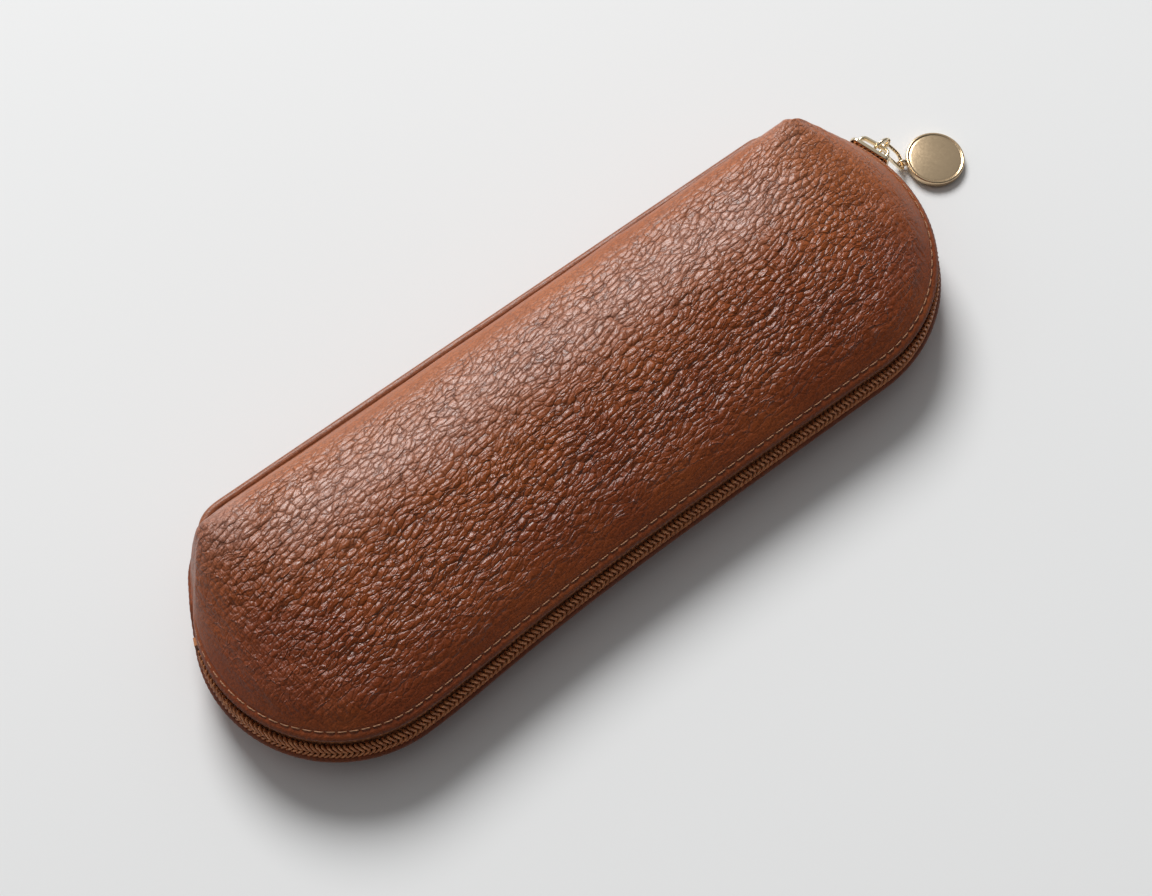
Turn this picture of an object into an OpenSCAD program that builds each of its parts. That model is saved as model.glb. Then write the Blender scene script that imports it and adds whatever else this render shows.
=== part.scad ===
// Soft leather fountain pen case with a zip round three sides.
// The case lies on its back: X runs along its length, Y from the mouth to the base seam, Z up.
// The origin is the centre of the flat underside, on the surface that the case rests on.

/* [Case] */
// Length over the closed zip
case_l = 210.5; // [190:0.5:240]
// Width from the zip's long run to the base seam
case_w = 69.5; // [66:0.5:80]
// Radius of the right end, where the slider parks
end_r_right = 38; // [34:0.5:39]
// Radius of the left end
end_r_left = 34; // [31:0.5:36]
// How far the left mouth corner swells past the right one
belly = 3.3; // [0:0.1:4]
// Radius of the two corners beside the base seam
base_corner_r = 20; // [16:0.5:22]
// Height of the middle of the zip above the underside
zip_z = 13; // [12:0.5:16]

/* [Front panel] */
// Height of the crown of the front panel
crown_h = 32.5; // [28:0.5:35]
// How far the crown swells above its rim
crown_dome = 0.5; // [0.2:0.1:0.8]
// Height of the pole that pulls up the two base corners
peak_h = 34; // [30:0.5:38]
// Distance of the base corner peaks from the ends of the case
peak_in_x = 16.5; // [13:0.5:20]
// Distance of the base corner peaks from the base seam
peak_in_y = 7; // [5:0.5:9]
// Height of the shoulder above the mouth
shoulder_h = 27; // [24:0.5:29]
// Distance of the shoulder from the mouth
shoulder_in = 9; // [7:0.5:12]
// Distance of the soft ridge at each end from the zip
ridge_in = 12; // [9:0.5:14]
// How far the middle of the base crease lies below the peaks
crease_sag = 3.5; // [0:0.1:4.5]
// How far the middle of the base crease stands out past the peaks
crease_out = 2.2; // [0.5:0.1:3]

/* [Skins] */
// Thickness of the leather
leather_t = 1.4; // [1:0.1:1.6]
// Thickness of the lining
lining_t = 0.6; // [0.4:0.05:0.8]
// Thickness of the zip tapes
tape_t = 0.5; // [0.4:0.05:0.6]
// Free space between two skins that are sewn together
skin_gap = 0.1; // [0.08:0.01:0.2]

/* [Base seam] */
// Height of the base seam above the underside
seam_z = 15; // [14:0.5:18]
// Radius of the rolled welt
welt_r = 1.2; // [0.9:0.1:1.4]
// Radius of the cord inside the welt
welt_cord_r = 0.7; // [0.4:0.05:0.8]
// Distance of the panels' edges from the base seam, behind the welt
welt_groove = 1.35; // [1.2:0.05:1.8]
// Free space between the tail of the welt and the edges of the panels
tail_gap = 1.1; // [1:0.05:1.3]
// Thickness of the welt's tail, which is caught in the seam
tail_t = 0.5; // [0.3:0.05:0.6]

/* [Zip] */
// Height between the two leather edges
zip_window = 10; // [9.6:0.2:11]
// Angle that the zip reaches past the right end's middle
reach_right = 33; // [28:1:36]
// Angle that the zip reaches past the left end's middle
reach_left = 28; // [22:1:34]
// Height of one row of the coil
coil_h = 2.6; // [2.2:0.1:2.8]
// Depth of the coil in front of its tape
coil_d = 1.85; // [1.5:0.05:2.2]
// Pitch of the turns of the coil
coil_pitch = 1.3; // [1.2:0.05:2]
// Depth of the groove between two turns
coil_groove = 0.5; // [0.2:0.05:0.7]
// Free space between the two rows
row_gap = 0.9; // [0.7:0.05:1.2]

/* [Slider] */
// Distance along the zip from its right end to the middle of the parked slider
slider_at = 9.4; // [9:0.1:13]
// Length of the slider along the zip
slider_l = 11; // [9:0.5:12]
// Width of the slider across the two rows
slider_w = 8; // [7:0.2:8.4]
// Thickness of the slider's blades
blade_t = 1.2; // [0.9:0.1:1.4]
// Free space between the outer blade and the coil
blade_gap = 0.6; // [0.4:0.05:0.8]
// Height of the bridge over the outer blade
bridge_rise = 3.5; // [3.2:0.1:4]
// Width of the bridge
bridge_w = 1.8; // [1.4:0.1:2]

/* [Pull] */
// Radius of the round pull
disk_r = 7.5; // [6:0.25:9]
// Thickness of the round pull
disk_t = 2.2; // [1.6:0.1:2.8]
// Direction of the pull, measured from the length of the case
pull_yaw = -28; // [-35:1:-15]
// Radius of the wire of the jump ring
ring_wire_r = 0.4; // [0.3:0.05:0.45]
// Inner radius of the jump ring
ring_bore_r = 2.05; // [2:0.05:2.4]
// Radius of the wire of the link
link_wire_r = 0.45; // [0.35:0.05:0.5]
// Length of the link between the middles of its end wires
link_l = 11; // [9.6:0.2:13]
// Width of the link between the middles of its side wires
link_w = 4.8; // [4:0.2:6]
// Free space between the wires of the link and the jump ring
link_clear = 0.35; // [0.3:0.05:0.4]

/* [Sewing] */
// Length of one stitch with its gap
stitch_pitch = 2.9; // [2.4:0.1:4]
// Length of the thread that shows in one stitch
stitch_l = 2.2; // [1.6:0.1:2.3]
// Radius of the sewing thread
thread_r = 0.25; // [0.15:0.05:0.3]

/* [Hidden] */
$fn = 48;
eps = 0.01;

tan_leather = [0.55, 0.28, 0.15];
dark_leather = [0.42, 0.2, 0.11];
tan_cloth = [0.72, 0.56, 0.4];
brown_nylon = [0.4, 0.24, 0.14];
thread_tan = [0.78, 0.55, 0.36];
pale_gold = [0.85, 0.74, 0.52];

// The plan outline in the plane of the zip: two end circles, the mouth between them,
// and two smaller corners that run into the straight base seam.
mouth_y = -case_w / 2;
seam_y = case_w / 2;
right_c = [case_l / 2 - end_r_right, mouth_y + end_r_right];
left_c = [end_r_left - case_l / 2, mouth_y - belly + end_r_left];
right_len = end_r_right * (90 + reach_right) * PI / 180;
mouth_len = right_c.x - left_c.x;
left_len = end_r_left * (90 + reach_left) * PI / 180;
zip_len = right_len + mouth_len + left_len;

function unit(v) = v / norm(v);
function mix(a, b, t) = a + (b - a) * t;
function clamp01(t) = min(1, max(0, t));
function smooth(t) = let (c = clamp01(t)) c * c * (3 - 2 * c);
function polar(a) = [cos(a), sin(a)];

// A station is [plan point, outward plan direction, zone, place in the zone from 0 to 1].
RIGHT_END = 0;
MOUTH = 1;
LEFT_END = 2;
LEFT_CORNER = 3;
BASE = 4;
RIGHT_CORNER = 5;

function right_station(t) =
    let (a = mix(reach_right, -90, t))
    [right_c + end_r_right * polar(a), polar(a), RIGHT_END, t];

// The swelling grows late along the mouth, so the slope follows from the same cubed place.
function mouth_station(t) =
    let (c = t * t * t, slope = belly / mouth_len * 6 * c * (1 - c) * 3 * t * t)
    [[mix(right_c.x, left_c.x, t), mouth_y - belly * smooth(c)], unit([slope, -1]), MOUTH, t];

function left_station(t) =
    let (a = mix(-90, -180 - reach_left, t))
    [left_c + end_r_left * polar(a), polar(a), LEFT_END, t];

// The station at a length s along the zip, from its right end.
function zip_station(s) =
    s < right_len ? right_station(s / right_len)
    : s < right_len + mouth_len ? mouth_station((s - right_len) / mouth_len)
    : left_station((s - right_len - mouth_len) / left_len);

// A corner runs straight on from the end circle and then round a smaller circle to the seam.
// The width that is left beside the zip limits the radius of that circle.
corner_straight = 1;
function corner_r(start, a) =
    min(base_corner_r, (seam_y - start.y - corner_straight * cos(a)) / (1 - sin(a)));
function corner_run(start, a) = (seam_y - start.y - corner_r(start, a) * (1 - sin(a))) / cos(a);
right_start = right_c + end_r_right * polar(reach_right);
left_start = left_c + end_r_left * polar(180 - reach_left);
right_corner_r = corner_r(right_start, reach_right);
left_corner_r = corner_r(left_start, reach_left);
right_run = corner_run(right_start, reach_right);
left_run = corner_run(left_start, reach_left);
right_knee = right_start + right_run * [-sin(reach_right), cos(reach_right)];
left_knee = left_start + left_run * [sin(reach_left), cos(reach_left)];
right_corner_c = right_knee - right_corner_r * polar(reach_right);
left_corner_c = left_knee - left_corner_r * polar(180 - reach_left);

function left_corner_station(t) =
    t < 0.4
        ? [mix(left_start, left_knee, t / 0.4), polar(180 - reach_left), LEFT_CORNER, t]
        : let (a = mix(180 - reach_left, 90, (t - 0.4) / 0.6))
          [left_corner_c + left_corner_r * polar(a), polar(a), LEFT_CORNER, t];

function right_corner_station(t) =
    t > 0.9
        ? [mix(right_knee, right_start, (t - 0.9) / 0.1), polar(reach_right), RIGHT_CORNER, t]
        : let (a = mix(90, reach_right, t / 0.9))
          [right_corner_c + right_corner_r * polar(a), polar(a), RIGHT_CORNER, t];

function base_station(t) =
    [[mix(left_corner_c.x, right_corner_c.x, t), seam_y], [0, 1], BASE, t];

ZIP_STEPS = 66;
function zip_loop(step = 1) =
    [for (i = [0 : step : ZIP_STEPS]) zip_station(zip_len * i / ZIP_STEPS - (i == ZIP_STEPS ? eps : 0))];
function closed_loop(step = 1) = concat(
    zip_loop(step),
    [for (i = [1 : step : 9]) left_corner_station(i / 10)],
    [for (i = [0 : step : 12]) base_station(i / 12)],
    [for (i = [1 : step : 9]) right_corner_station(i / 10)]
);

// Heights of the leather edges. They part round the zip, meet beside it, and part again
// round the welt's tail. side is 1 for the front panel and -1 for the back panel.
edge_in = 0.8;
seam_meet = 0.35;
tail_clear = tail_t / 2 + tail_gap;
seam_close = 0.25;
function corner_edge(side, t) =
    t < seam_close
        ? mix(zip_z + side * zip_window / 2, zip_z + side * seam_meet, smooth(t / seam_close))
        : mix(
            zip_z + side * seam_meet,
            seam_z + side * tail_clear,
            smooth((t - seam_close) / (1 - seam_close))
        );
function edge_z(st, side) =
    st[2] == BASE ? seam_z + side * tail_clear
    : st[2] == LEFT_CORNER ? corner_edge(side, st[3])
    : st[2] == RIGHT_CORNER ? corner_edge(side, 1 - st[3])
    : zip_z + side * zip_window / 2;
// How far a station is from the zip, from 0 at the zip to 1 at the base seam.
function off_zip(st) =
    st[2] == BASE ? 1
    : st[2] == LEFT_CORNER ? smooth(st[3])
    : st[2] == RIGHT_CORNER ? smooth(1 - st[3])
    : 0;
function edge_point(st, side) =
    let (p = st[0] - st[1] * mix(edge_in, welt_groove, off_zip(st)))
    [p.x, p.y, edge_z(st, side)];

// The pole pulls the section of a panel towards itself, more so the greater its weight.
right_peak = [case_l / 2 - peak_in_x, seam_y - peak_in_y, peak_h];
left_peak = [peak_in_x - case_l / 2, seam_y - peak_in_y - 1.5, peak_h];
peak_weight = 6;
crease_weight = 2;
function end_fade(st) = st[2] == RIGHT_END ? st[3] : 1 - st[3];
function front_pole(st) =
    st[2] == BASE
        ? mix(left_peak, right_peak, st[3]) + [0, crease_out, -crease_sag] * pow(sin(180 * st[3]), 0.6)
    : st[2] == LEFT_CORNER ? left_peak
    : st[2] == RIGHT_CORNER ? right_peak
    : st[2] == MOUTH ? concat(st[0] - st[1] * shoulder_in, [shoulder_h])
    : let (
        f = end_fade(st),
        from = st[2] == RIGHT_END ? right_peak : left_peak,
        to = st[0] - st[1] * mix(ridge_in, shoulder_in, smooth(f)),
        b = smooth(f / 0.5)
      )
      [mix(from.x, to.x, b), mix(from.y, to.y, b), mix(peak_h, shoulder_h, smooth(f * 0.6 + 0.4 * b))];
function front_weight(st) =
    st[2] == BASE ? mix(peak_weight, crease_weight, pow(sin(180 * st[3]), 0.5))
    : st[2] == LEFT_CORNER || st[2] == RIGHT_CORNER ? peak_weight
    : st[2] == MOUTH ? 1
    : mix(peak_weight, 1, pow(smooth(end_fade(st) / 0.6), 0.5));

// The crown of the front panel is an oval round a line along the case. It swells a little
// towards a narrower oval, the crest.
crown_y = 8;
crown_in = 48;
crown_r = 6;
crest_r = 1.5;
function crown_point(st, r, z) =
    let (
        lim = case_l / 2 - crown_in,
        q = [min(lim, max(-lim, st[0].x)), crown_y],
        p = q + r * unit(st[0] - q)
    )
    [p.x, p.y, z];

// The back panel turns under near its edge and is flat where it rests.
turn_in = 3;
flat_in = 14;
back_weight = 1.3;
base_weight = 2.5;
function back_pole(st) = concat(st[0] - st[1] * mix(turn_in, 1.5, off_zip(st)), [0]);
function flat_point(st) = concat(st[0] - st[1] * flat_in, [0]);

// The section of a skin that lies d inside the outer face of the leather: a rational
// quadratic curve from the edge past the pole, as [edge, pole, end, weight].
function skin_section(st, side, d) =
    let (
        e = edge_point(st, side),
        k = side > 0 ? front_pole(st) : back_pole(st),
        c = side > 0 ? crown_point(st, crown_r, crown_h) : flat_point(st),
        w = side > 0 ? front_weight(st) : mix(back_weight, base_weight, off_zip(st)),
        run = [k.x - e.x, k.y - e.y],
        rise = abs(k.z - e.z),
        slant = norm([norm(run), rise]),
        in_e = unit(run) * d * rise / slant,
        in_k = unit([c.x - k.x, c.y - k.y]) * d * rise / slant,
        down = [0, 0, -side]
    )
    [
        e + [in_e.x, in_e.y, 0] + down * d * norm(run) / slant,
        k + [in_k.x, in_k.y, 0] + down * d,
        c + down * d,
        w
    ];
function on_section(q, s) =
    let (a = (1 - s) * (1 - s), b = 2 * q[3] * s * (1 - s), c = s * s)
    (a * q[0] + b * q[1] + c * q[2]) / (a + b + c);
// Places from 0 to 1 follow the section, and CREST is the crest of the front panel's crown.
CREST = 2;
function skin_point(st, side, d, s) =
    s == CREST ? crown_point(st, crest_r, crown_h + crown_dome - d)
    : on_section(skin_section(st, side, d), s);

// A closed skin between two depths: rings of points from its edge inwards, then a flat cap.
module skin(stations, side, d0, d1, places) {
    n = len(stations);
    m = len(places);
    outer = [for (s = places) each [for (st = stations) skin_point(st, side, d0, s)]];
    inner = [for (s = places) each [for (st = stations) skin_point(st, side, d1, s)]];
    function at(layer, j, i) = layer * n * m + j * n + i % n;
    walls = [for (layer = [0, 1], j = [0 : m - 2], i = [0 : n - 1])
        let (q = [at(layer, j, i), at(layer, j, i + 1), at(layer, j + 1, i + 1), at(layer, j + 1, i)])
        layer == 0 ? q : [for (v = [3 : -1 : 0]) q[v]]];
    rim = [for (i = [0 : n - 1]) [at(1, 0, i), at(1, 0, i + 1), at(0, 0, i + 1), at(0, 0, i)]];
    caps = [
        [for (i = [0 : n - 1]) at(0, m - 1, i)],
        [for (i = [n - 1 : -1 : 0]) at(1, m - 1, i)]
    ];
    faces = concat(walls, rim, caps);
    polyhedron(
        points = concat(outer, inner),
        faces = side > 0 ? faces : [for (f = faces) [for (v = [len(f) - 1 : -1 : 0]) f[v]]],
        convexity = 6
    );
}

// A strip swept along open stations: rows is a list of rings, each with as many points.
module sweep_strip(rows) {
    n = len(rows);
    m = len(rows[0]);
    sides = [for (i = [0 : n - 2], j = [0 : m - 1])
        [i * m + j, i * m + (j + 1) % m, (i + 1) * m + (j + 1) % m, (i + 1) * m + j]];
    first = [for (j = [m - 1 : -1 : 0]) j];
    last = [for (j = [0 : m - 1]) (n - 1) * m + j];
    polyhedron(points = [for (r = rows) each r], faces = concat(sides, [first, last]), convexity = 6);
}

tape_in = coil_d + skin_gap;
tape_hold = 0.2;
tape_bend = 0.09;
function level(st, inset, z) = concat(st[0] - st[1] * inset, [z]);
function tape_ring(st, side) =
    let (
        low = zip_z + side * row_gap / 2,
        d = leather_t + skin_gap,
        bend = skin_point(st, side, d, tape_bend),
        top_z = min(side * bend.z, side * (zip_z + side * (zip_window / 2 - 0.4))) * side,
        ring = [
            level(st, tape_in, low),
            level(st, tape_in, top_z - side * 0.6),
            bend,
            skin_point(st, side, d, tape_hold),
            skin_point(st, side, d + tape_t, tape_hold),
            skin_point(st, side, d + tape_t, tape_bend),
            level(st, tape_in + tape_t, top_z - side * 0.5),
            level(st, tape_in + tape_t, low)
        ]
    )
    side > 0 ? ring : [for (v = [7 : -1 : 0]) ring[v]];

module tape(side) {
    sweep_strip([for (st = zip_loop()) tape_ring(st, side)]);
}

// The lining starts where the tape is held and follows the leather from there.
LINING_PLACES = [0.12, 0.25, 0.42, 0.55, 0.72, 1];
lining_d = leather_t + tape_t + 2.5 * skin_gap;
module lining(side) {
    places = side > 0 ? concat(LINING_PLACES, CREST) : LINING_PLACES;
    skin(closed_loop(2), side, lining_d, lining_d + lining_t, places);
}

// One row of the coil: a band along the zip with a groove between every two turns.
coil_start = 3.4;
coil_count = floor((zip_len - 2 * coil_start) / coil_pitch);
function on_zip(s, inset) = let (st = zip_station(s)) st[0] - st[1] * inset;
module coil(side) {
    turns = [for (k = [0 : coil_count - 1], v = [[0, coil_groove], [0.25, 0], [0.75, 0]])
        on_zip(coil_start + (k + v[0]) * coil_pitch, v[1])];
    back = [for (k = [coil_count : -1 : 0])
        on_zip(coil_start + (k == coil_count ? k - 0.25 : k) * coil_pitch, coil_d)];
    translate([0, 0, zip_z + side * (row_gap + coil_h) / 2 - coil_h / 2])
        linear_extrude(height = coil_h)
            polygon(concat(turns, back));
}

// A place on the zip with X outwards, Y along the zip and Z up, at the middle of the zip.
module at_zip(s) {
    st = zip_station(s);
    translate([st[0].x, st[0].y, zip_z])
        rotate([0, 0, atan2(st[1].y, st[1].x)])
            children();
}

// A stop folded over the edge of one tape: a block with a slot for the tape.
stop_l = 2;
stop_web = 0.3;
stop_at = 2;
stop_d = tape_in + tape_t + 1;
module stop_half(side, clearance) {
    reach = row_gap / 2 + coil_h;
    mirror([0, 0, side > 0 ? 0 : 1])
        difference() {
            translate([-stop_d, -stop_l / 2, 0])
                cube([stop_d - 0.2, stop_l, reach]);
            translate([-tape_in - tape_t - clearance, -stop_l / 2 - 1, stop_web])
                cube([tape_t + 2 * clearance, stop_l + 2, reach]);
        }
}
module top_stop(side) {
    at_zip(stop_at)
        translate([0, 0, side * skin_gap])
            intersection() {
                stop_half(side, skin_gap);
                rotate([0, 90, 0])
                    cylinder(h = 3 * stop_d, r = row_gap / 2 + coil_h + 0.1, center = true);
            }
}

// A row of stitches along the edge of a panel.
stitch_place = 0.085;
stitch_lift = thread_r + 0.08;
module rod(a, b, r) {
    v = b - a;
    translate(a)
        rotate([0, acos(v.z / norm(v)), atan2(v.y, v.x)])
            cylinder(h = norm(v), r = r, $fn = 6);
}
function stitch_end(s, side) =
    let (
        st = zip_station(s),
        q = skin_section(st, side, 0),
        p = on_section(q, stitch_place),
        lean = unit([norm([q[1].x - q[0].x, q[1].y - q[0].y]), abs(q[1].z - q[0].z)])
    )
    p + stitch_lift * [st[1].x * lean.y, st[1].y * lean.y, side * lean.x];
module stitching(side) {
    count = floor((zip_len - stitch_pitch) / stitch_pitch);
    for (k = [0 : count - 1])
        rod(
            stitch_end(k * stitch_pitch + 1, side),
            stitch_end(k * stitch_pitch + 1 + stitch_l, side),
            thread_r
        );
}

// The slider's own frame: X outwards from the middle of the right end circle, Y along the zip.
slider_angle = reach_right - slider_at / end_r_right * 180 / PI;
outer_blade_x = end_r_right + blade_gap;
slider_half = slider_l / 2;
tape_back = end_r_right - tape_in - tape_t;
inner_blade_x = sqrt(tape_back * tape_back - slider_half * slider_half) - 0.3;
blade_top = outer_blade_x + blade_t;
post_t = row_gap - 0.3;
module in_slider() {
    translate([right_c.x, right_c.y, zip_z])
        rotate([0, 0, slider_angle])
            children();
}
// A blade is a rounded shield, wide at the nose and narrower at the tail.
module blade(x) {
    translate([x, 0, 0])
        rotate([90, 0, 90])
            linear_extrude(height = blade_t)
                hull() {
                    for (z = [-1, 1]) {
                        translate([slider_half - 2, z * (slider_w / 2 - 2)])
                            circle(r = 2);
                        translate([-slider_half + 1.2, z * (slider_w / 2 - 2)])
                            circle(r = 1.2);
                    }
                }
}

bar_t = 0.9;
bridge_half = 4.4;
bridge_fillet = 1.8;
bar_x = blade_top + bridge_rise - bar_t / 2;
pull_y = -1;
module arch_outline(inset) {
    x = bridge_rise - bridge_fillet;
    for (y = [-1, 1])
        translate([x, y * (bridge_half - bridge_fillet)])
            circle(r = bridge_fillet - inset);
    translate([x - 1, -bridge_half + bridge_fillet])
        square([1 + bridge_fillet - inset, 2 * (bridge_half - bridge_fillet)]);
    translate([-(inset > 0 ? 1 : 0), -bridge_half + inset])
        square([x + (inset > 0 ? 1 : 0), 2 * (bridge_half - inset)]);
}

// The pull hangs from the bridge: a jump ring, a long link and a round disk with an eye.
ring_r = ring_bore_r + ring_wire_r;
ring_hang = 0.8;
ring_pitch = -45;
ring_yaw = slider_angle - 20;
link_hang = ring_bore_r - link_wire_r - link_clear;
disk_tilt = 3;
eye_r = 1.15;
eye_wire_r = 0.4;
eye_out = 1.1;
disk_clear = 0.1;
function dir3(yaw, pitch) = [cos(pitch) * cos(yaw), cos(pitch) * sin(yaw), sin(pitch)];
bar_p = concat(
    right_c + bar_x * polar(slider_angle) + pull_y * polar(slider_angle + 90),
    [zip_z]
);
ring_p = bar_p + ring_hang * dir3(ring_yaw, ring_pitch);
link_top = ring_p + link_hang * dir3(mix(ring_yaw, pull_yaw, 0.5), ring_pitch - 5);
disk_z = disk_clear + disk_t / 2 + disk_r * sin(disk_tilt);
eye_z = disk_z + (disk_r + eye_out) * sin(disk_tilt);
link_pitch = -asin((link_top.z - eye_z) / link_l);
link_end = link_top + link_l * dir3(pull_yaw, link_pitch);

module wire_loop(r, wire_r) {
    rotate_extrude()
        translate([r, 0])
            circle(r = wire_r, $fn = 24);
}
// Puts local X along a direction, with local Y level.
module along(yaw, pitch) {
    rotate([0, 0, yaw])
        rotate([0, -pitch, 0])
            children();
}

module front_panel() {
    color(tan_leather)
        skin(closed_loop(), 1, 0, leather_t, [0, 0.12, 0.25, 0.36, 0.46, 0.56, 0.68, 0.82, 1, CREST]);
}
module front_lining() {
    color(tan_cloth)
        lining(1);
}
module front_tape() {
    color(brown_nylon)
        tape(1);
}
module front_coil() {
    color(brown_nylon)
        coil(1);
}
module front_top_stop() {
    color(pale_gold)
        top_stop(1);
}
module front_stitching() {
    color(thread_tan)
        stitching(1);
}
module back_panel() {
    color(dark_leather)
        skin(closed_loop(), -1, 0, leather_t, [0, 0.2, 0.38, 0.55, 0.75, 1]);
}
module back_lining() {
    color(tan_cloth)
        lining(-1);
}
module back_tape() {
    color(brown_nylon)
        tape(-1);
}
module back_coil() {
    color(brown_nylon)
        coil(-1);
}
module back_top_stop() {
    color(pale_gold)
        top_stop(-1);
}
module back_stitching() {
    color(thread_tan)
        stitching(-1);
}
module bottom_stop() {
    color(pale_gold)
        at_zip(zip_len - stop_at) {
            stop_half(1, 0.3);
            stop_half(-1, skin_gap);
        }
}

// The welt is a leather tube round a cord, with a tail that is caught in the seam.
welt_end = 5;
tail_l = 2.4;
welt_l = right_corner_c.x - left_corner_c.x;
module at_welt() {
    translate([left_corner_c.x, seam_y + 0.25, seam_z])
        rotate([0, 90, 0])
            children();
}
module base_welt() {
    color(dark_leather)
        at_welt() {
            difference() {
                union() {
                    cylinder(h = welt_l, r = welt_r);
                    translate([0, 0, -welt_end])
                        cylinder(h = welt_end, r1 = welt_cord_r + 0.1, r2 = welt_r);
                    translate([0, 0, welt_l])
                        cylinder(h = welt_end, r1 = welt_r, r2 = welt_cord_r + 0.1);
                    translate([-tail_t / 2, -welt_r - tail_l, 0])
                        cube([tail_t, welt_r + tail_l, welt_l]);
                }
                translate([0, 0, -welt_end + 1])
                    cylinder(h = welt_l + 2 * welt_end - 2, r = welt_cord_r + 0.03);
            }
        }
}
module welt_cord() {
    color(tan_cloth)
        at_welt()
            translate([0, 0, -welt_end + 1.05])
                cylinder(h = welt_l + 2 * welt_end - 2.1, r = welt_cord_r);
}

flange_t = 0.65;
module slider_body() {
    color(pale_gold)
        in_slider() {
            blade(outer_blade_x);
            blade(inner_blade_x - blade_t);
            translate([inner_blade_x - eps, slider_half - 5, -post_t / 2])
                cube([outer_blade_x - inner_blade_x + 2 * eps, 3, post_t]);
            translate([end_r_right - tape_in + 0.4, -slider_half + 1.5, -slider_w / 2])
                cube([outer_blade_x - end_r_right + tape_in - 0.4 + eps, slider_l - 4, flange_t]);
        }
}
module slider_bridge() {
    color(pale_gold)
        in_slider()
            translate([blade_top, 0, -bridge_w / 2])
                linear_extrude(height = bridge_w)
                    difference() {
                        arch_outline(0);
                        arch_outline(bar_t);
                    }
}
module jump_ring() {
    color(pale_gold)
        translate(ring_p)
            along(ring_yaw, ring_pitch)
                rotate([90, 0, 0])
                    wire_loop(ring_r, ring_wire_r);
}
module pull_link() {
    bend_r = link_w / 2;
    color(pale_gold)
        translate(link_top)
            along(pull_yaw, link_pitch) {
                for (e = [0, 1])
                    translate([e ? link_l - bend_r : bend_r, 0, 0])
                        rotate([0, 0, e ? -90 : 90])
                            rotate_extrude(angle = 180)
                                translate([bend_r, 0])
                                    circle(r = link_wire_r, $fn = 24);
                for (y = [-1, 1])
                    translate([bend_r, y * bend_r, 0])
                        rotate([0, 90, 0])
                            cylinder(h = link_l - link_w, r = link_wire_r, $fn = 24);
            }
}
// The disk has a rounded, slightly raised rim round a flat face on both sides.
rim_w = 0.8;
rim_rise = 0.15;
module pull_disk() {
    half = disk_t / 2;
    color(pale_gold)
        translate(link_end)
            along(pull_yaw, -disk_tilt) {
                rotate([90, 0, 0])
                    wire_loop(eye_r, eye_wire_r);
                translate([eye_out + disk_r, 0, 0])
                    rotate_extrude($fn = 96)
                        polygon([
                            [0, -half + rim_rise],
                            [disk_r - rim_w, -half + rim_rise],
                            [disk_r - rim_w + 0.15, -half],
                            [disk_r - 0.35, -half],
                            [disk_r, -half + 0.45],
                            [disk_r, half - 0.45],
                            [disk_r - 0.35, half],
                            [disk_r - rim_w + 0.15, half],
                            [disk_r - rim_w, half - rim_rise],
                            [0, half - rim_rise]
                        ]);
            }
}

front_panel();
front_lining();
front_tape();
front_coil();
front_top_stop();
front_stitching();
back_panel();
back_lining();
back_tape();
back_coil();
back_top_stop();
back_stitching();
bottom_stop();
base_welt();
welt_cord();
slider_body();
slider_bridge();
jump_ring();
pull_link();
pull_disk();
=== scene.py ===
"""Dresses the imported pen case: leather skins, zip, sewing, lining and pull, on a pale table."""

import math

import bpy
import numpy as np
from mathutils import Matrix, Vector
from mathutils.bvhtree import BVHTree
from mathutils.geometry import delaunay_2d_cdt


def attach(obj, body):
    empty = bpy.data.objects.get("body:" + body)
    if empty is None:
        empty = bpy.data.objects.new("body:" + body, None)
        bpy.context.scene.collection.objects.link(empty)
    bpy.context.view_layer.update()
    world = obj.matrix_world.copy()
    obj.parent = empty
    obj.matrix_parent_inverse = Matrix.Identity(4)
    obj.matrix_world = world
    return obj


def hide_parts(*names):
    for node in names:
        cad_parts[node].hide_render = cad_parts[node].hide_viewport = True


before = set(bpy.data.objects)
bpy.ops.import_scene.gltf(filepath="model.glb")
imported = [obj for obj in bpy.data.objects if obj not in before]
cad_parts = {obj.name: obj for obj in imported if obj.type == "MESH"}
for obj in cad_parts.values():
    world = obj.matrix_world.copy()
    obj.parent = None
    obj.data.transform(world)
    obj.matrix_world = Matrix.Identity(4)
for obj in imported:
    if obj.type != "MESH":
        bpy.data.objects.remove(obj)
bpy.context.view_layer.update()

MM = 0.001

# ---------------------------------------------------------------- driving sizes, in mm
CASE_L = 210.5
CASE_W = 69.5
END_R = (38.0, 34.0)          # right end, left end
BELLY = 3.3
CORNER_R = 20.0
CORNER_LEN = (21.0, 33.0)     # about the length of the right and the left corner
RIGHT_ARC = 0.9               # share of the right corner's stations that lie on its arc
LEFT_RUN = 0.4                # share of the left corner's stations before its arc
ZIP_Z = 13.0
ZIP_WINDOW = 10.0
REACH = (33.0, 28.0)          # degrees that the zip reaches past the middle of each end
CROWN_H = 32.5
CROWN_DOME = 0.5
PEAK_H = 34.0
PEAK_IN = (16.5, 7.0)
SHOULDER_H = 27.0
SHOULDER_IN = 9.0
RIDGE_IN = 12.0
CREASE_SAG = 3.5
CREASE_OUT = 2.2
LEATHER_T = 1.4
LINING_T = 0.6
TAPE_T = 0.5
SKIN_GAP = 0.1
SEAM_Z = 15.0
TAIL_CLEAR = 1.35
WELT_GROOVE = 1.35
SEAM_MEET = 0.35
SEAM_CLOSE = 0.25
EDGE_IN = 0.8
PEAK_WEIGHT = 6.0
CREASE_WEIGHT = 2.0
CROWN_Y = 8.0
CROWN_IN = 48.0
CROWN_R = 6.0
CREST_R = 1.5
TURN_IN = 3.0
BASE_TURN_IN = 1.5
FLAT_IN = 14.0
BACK_WEIGHT = 1.3
BASE_WEIGHT = 2.5
COIL_D = 1.85
TAPE_IN = COIL_D + SKIN_GAP
COIL_H = 2.6
ROW_GAP = 0.9
COIL_PITCH = 1.3
COIL_START = 3.4
STITCH_PITCH = 2.9
STITCH_L = 2.72
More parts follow.
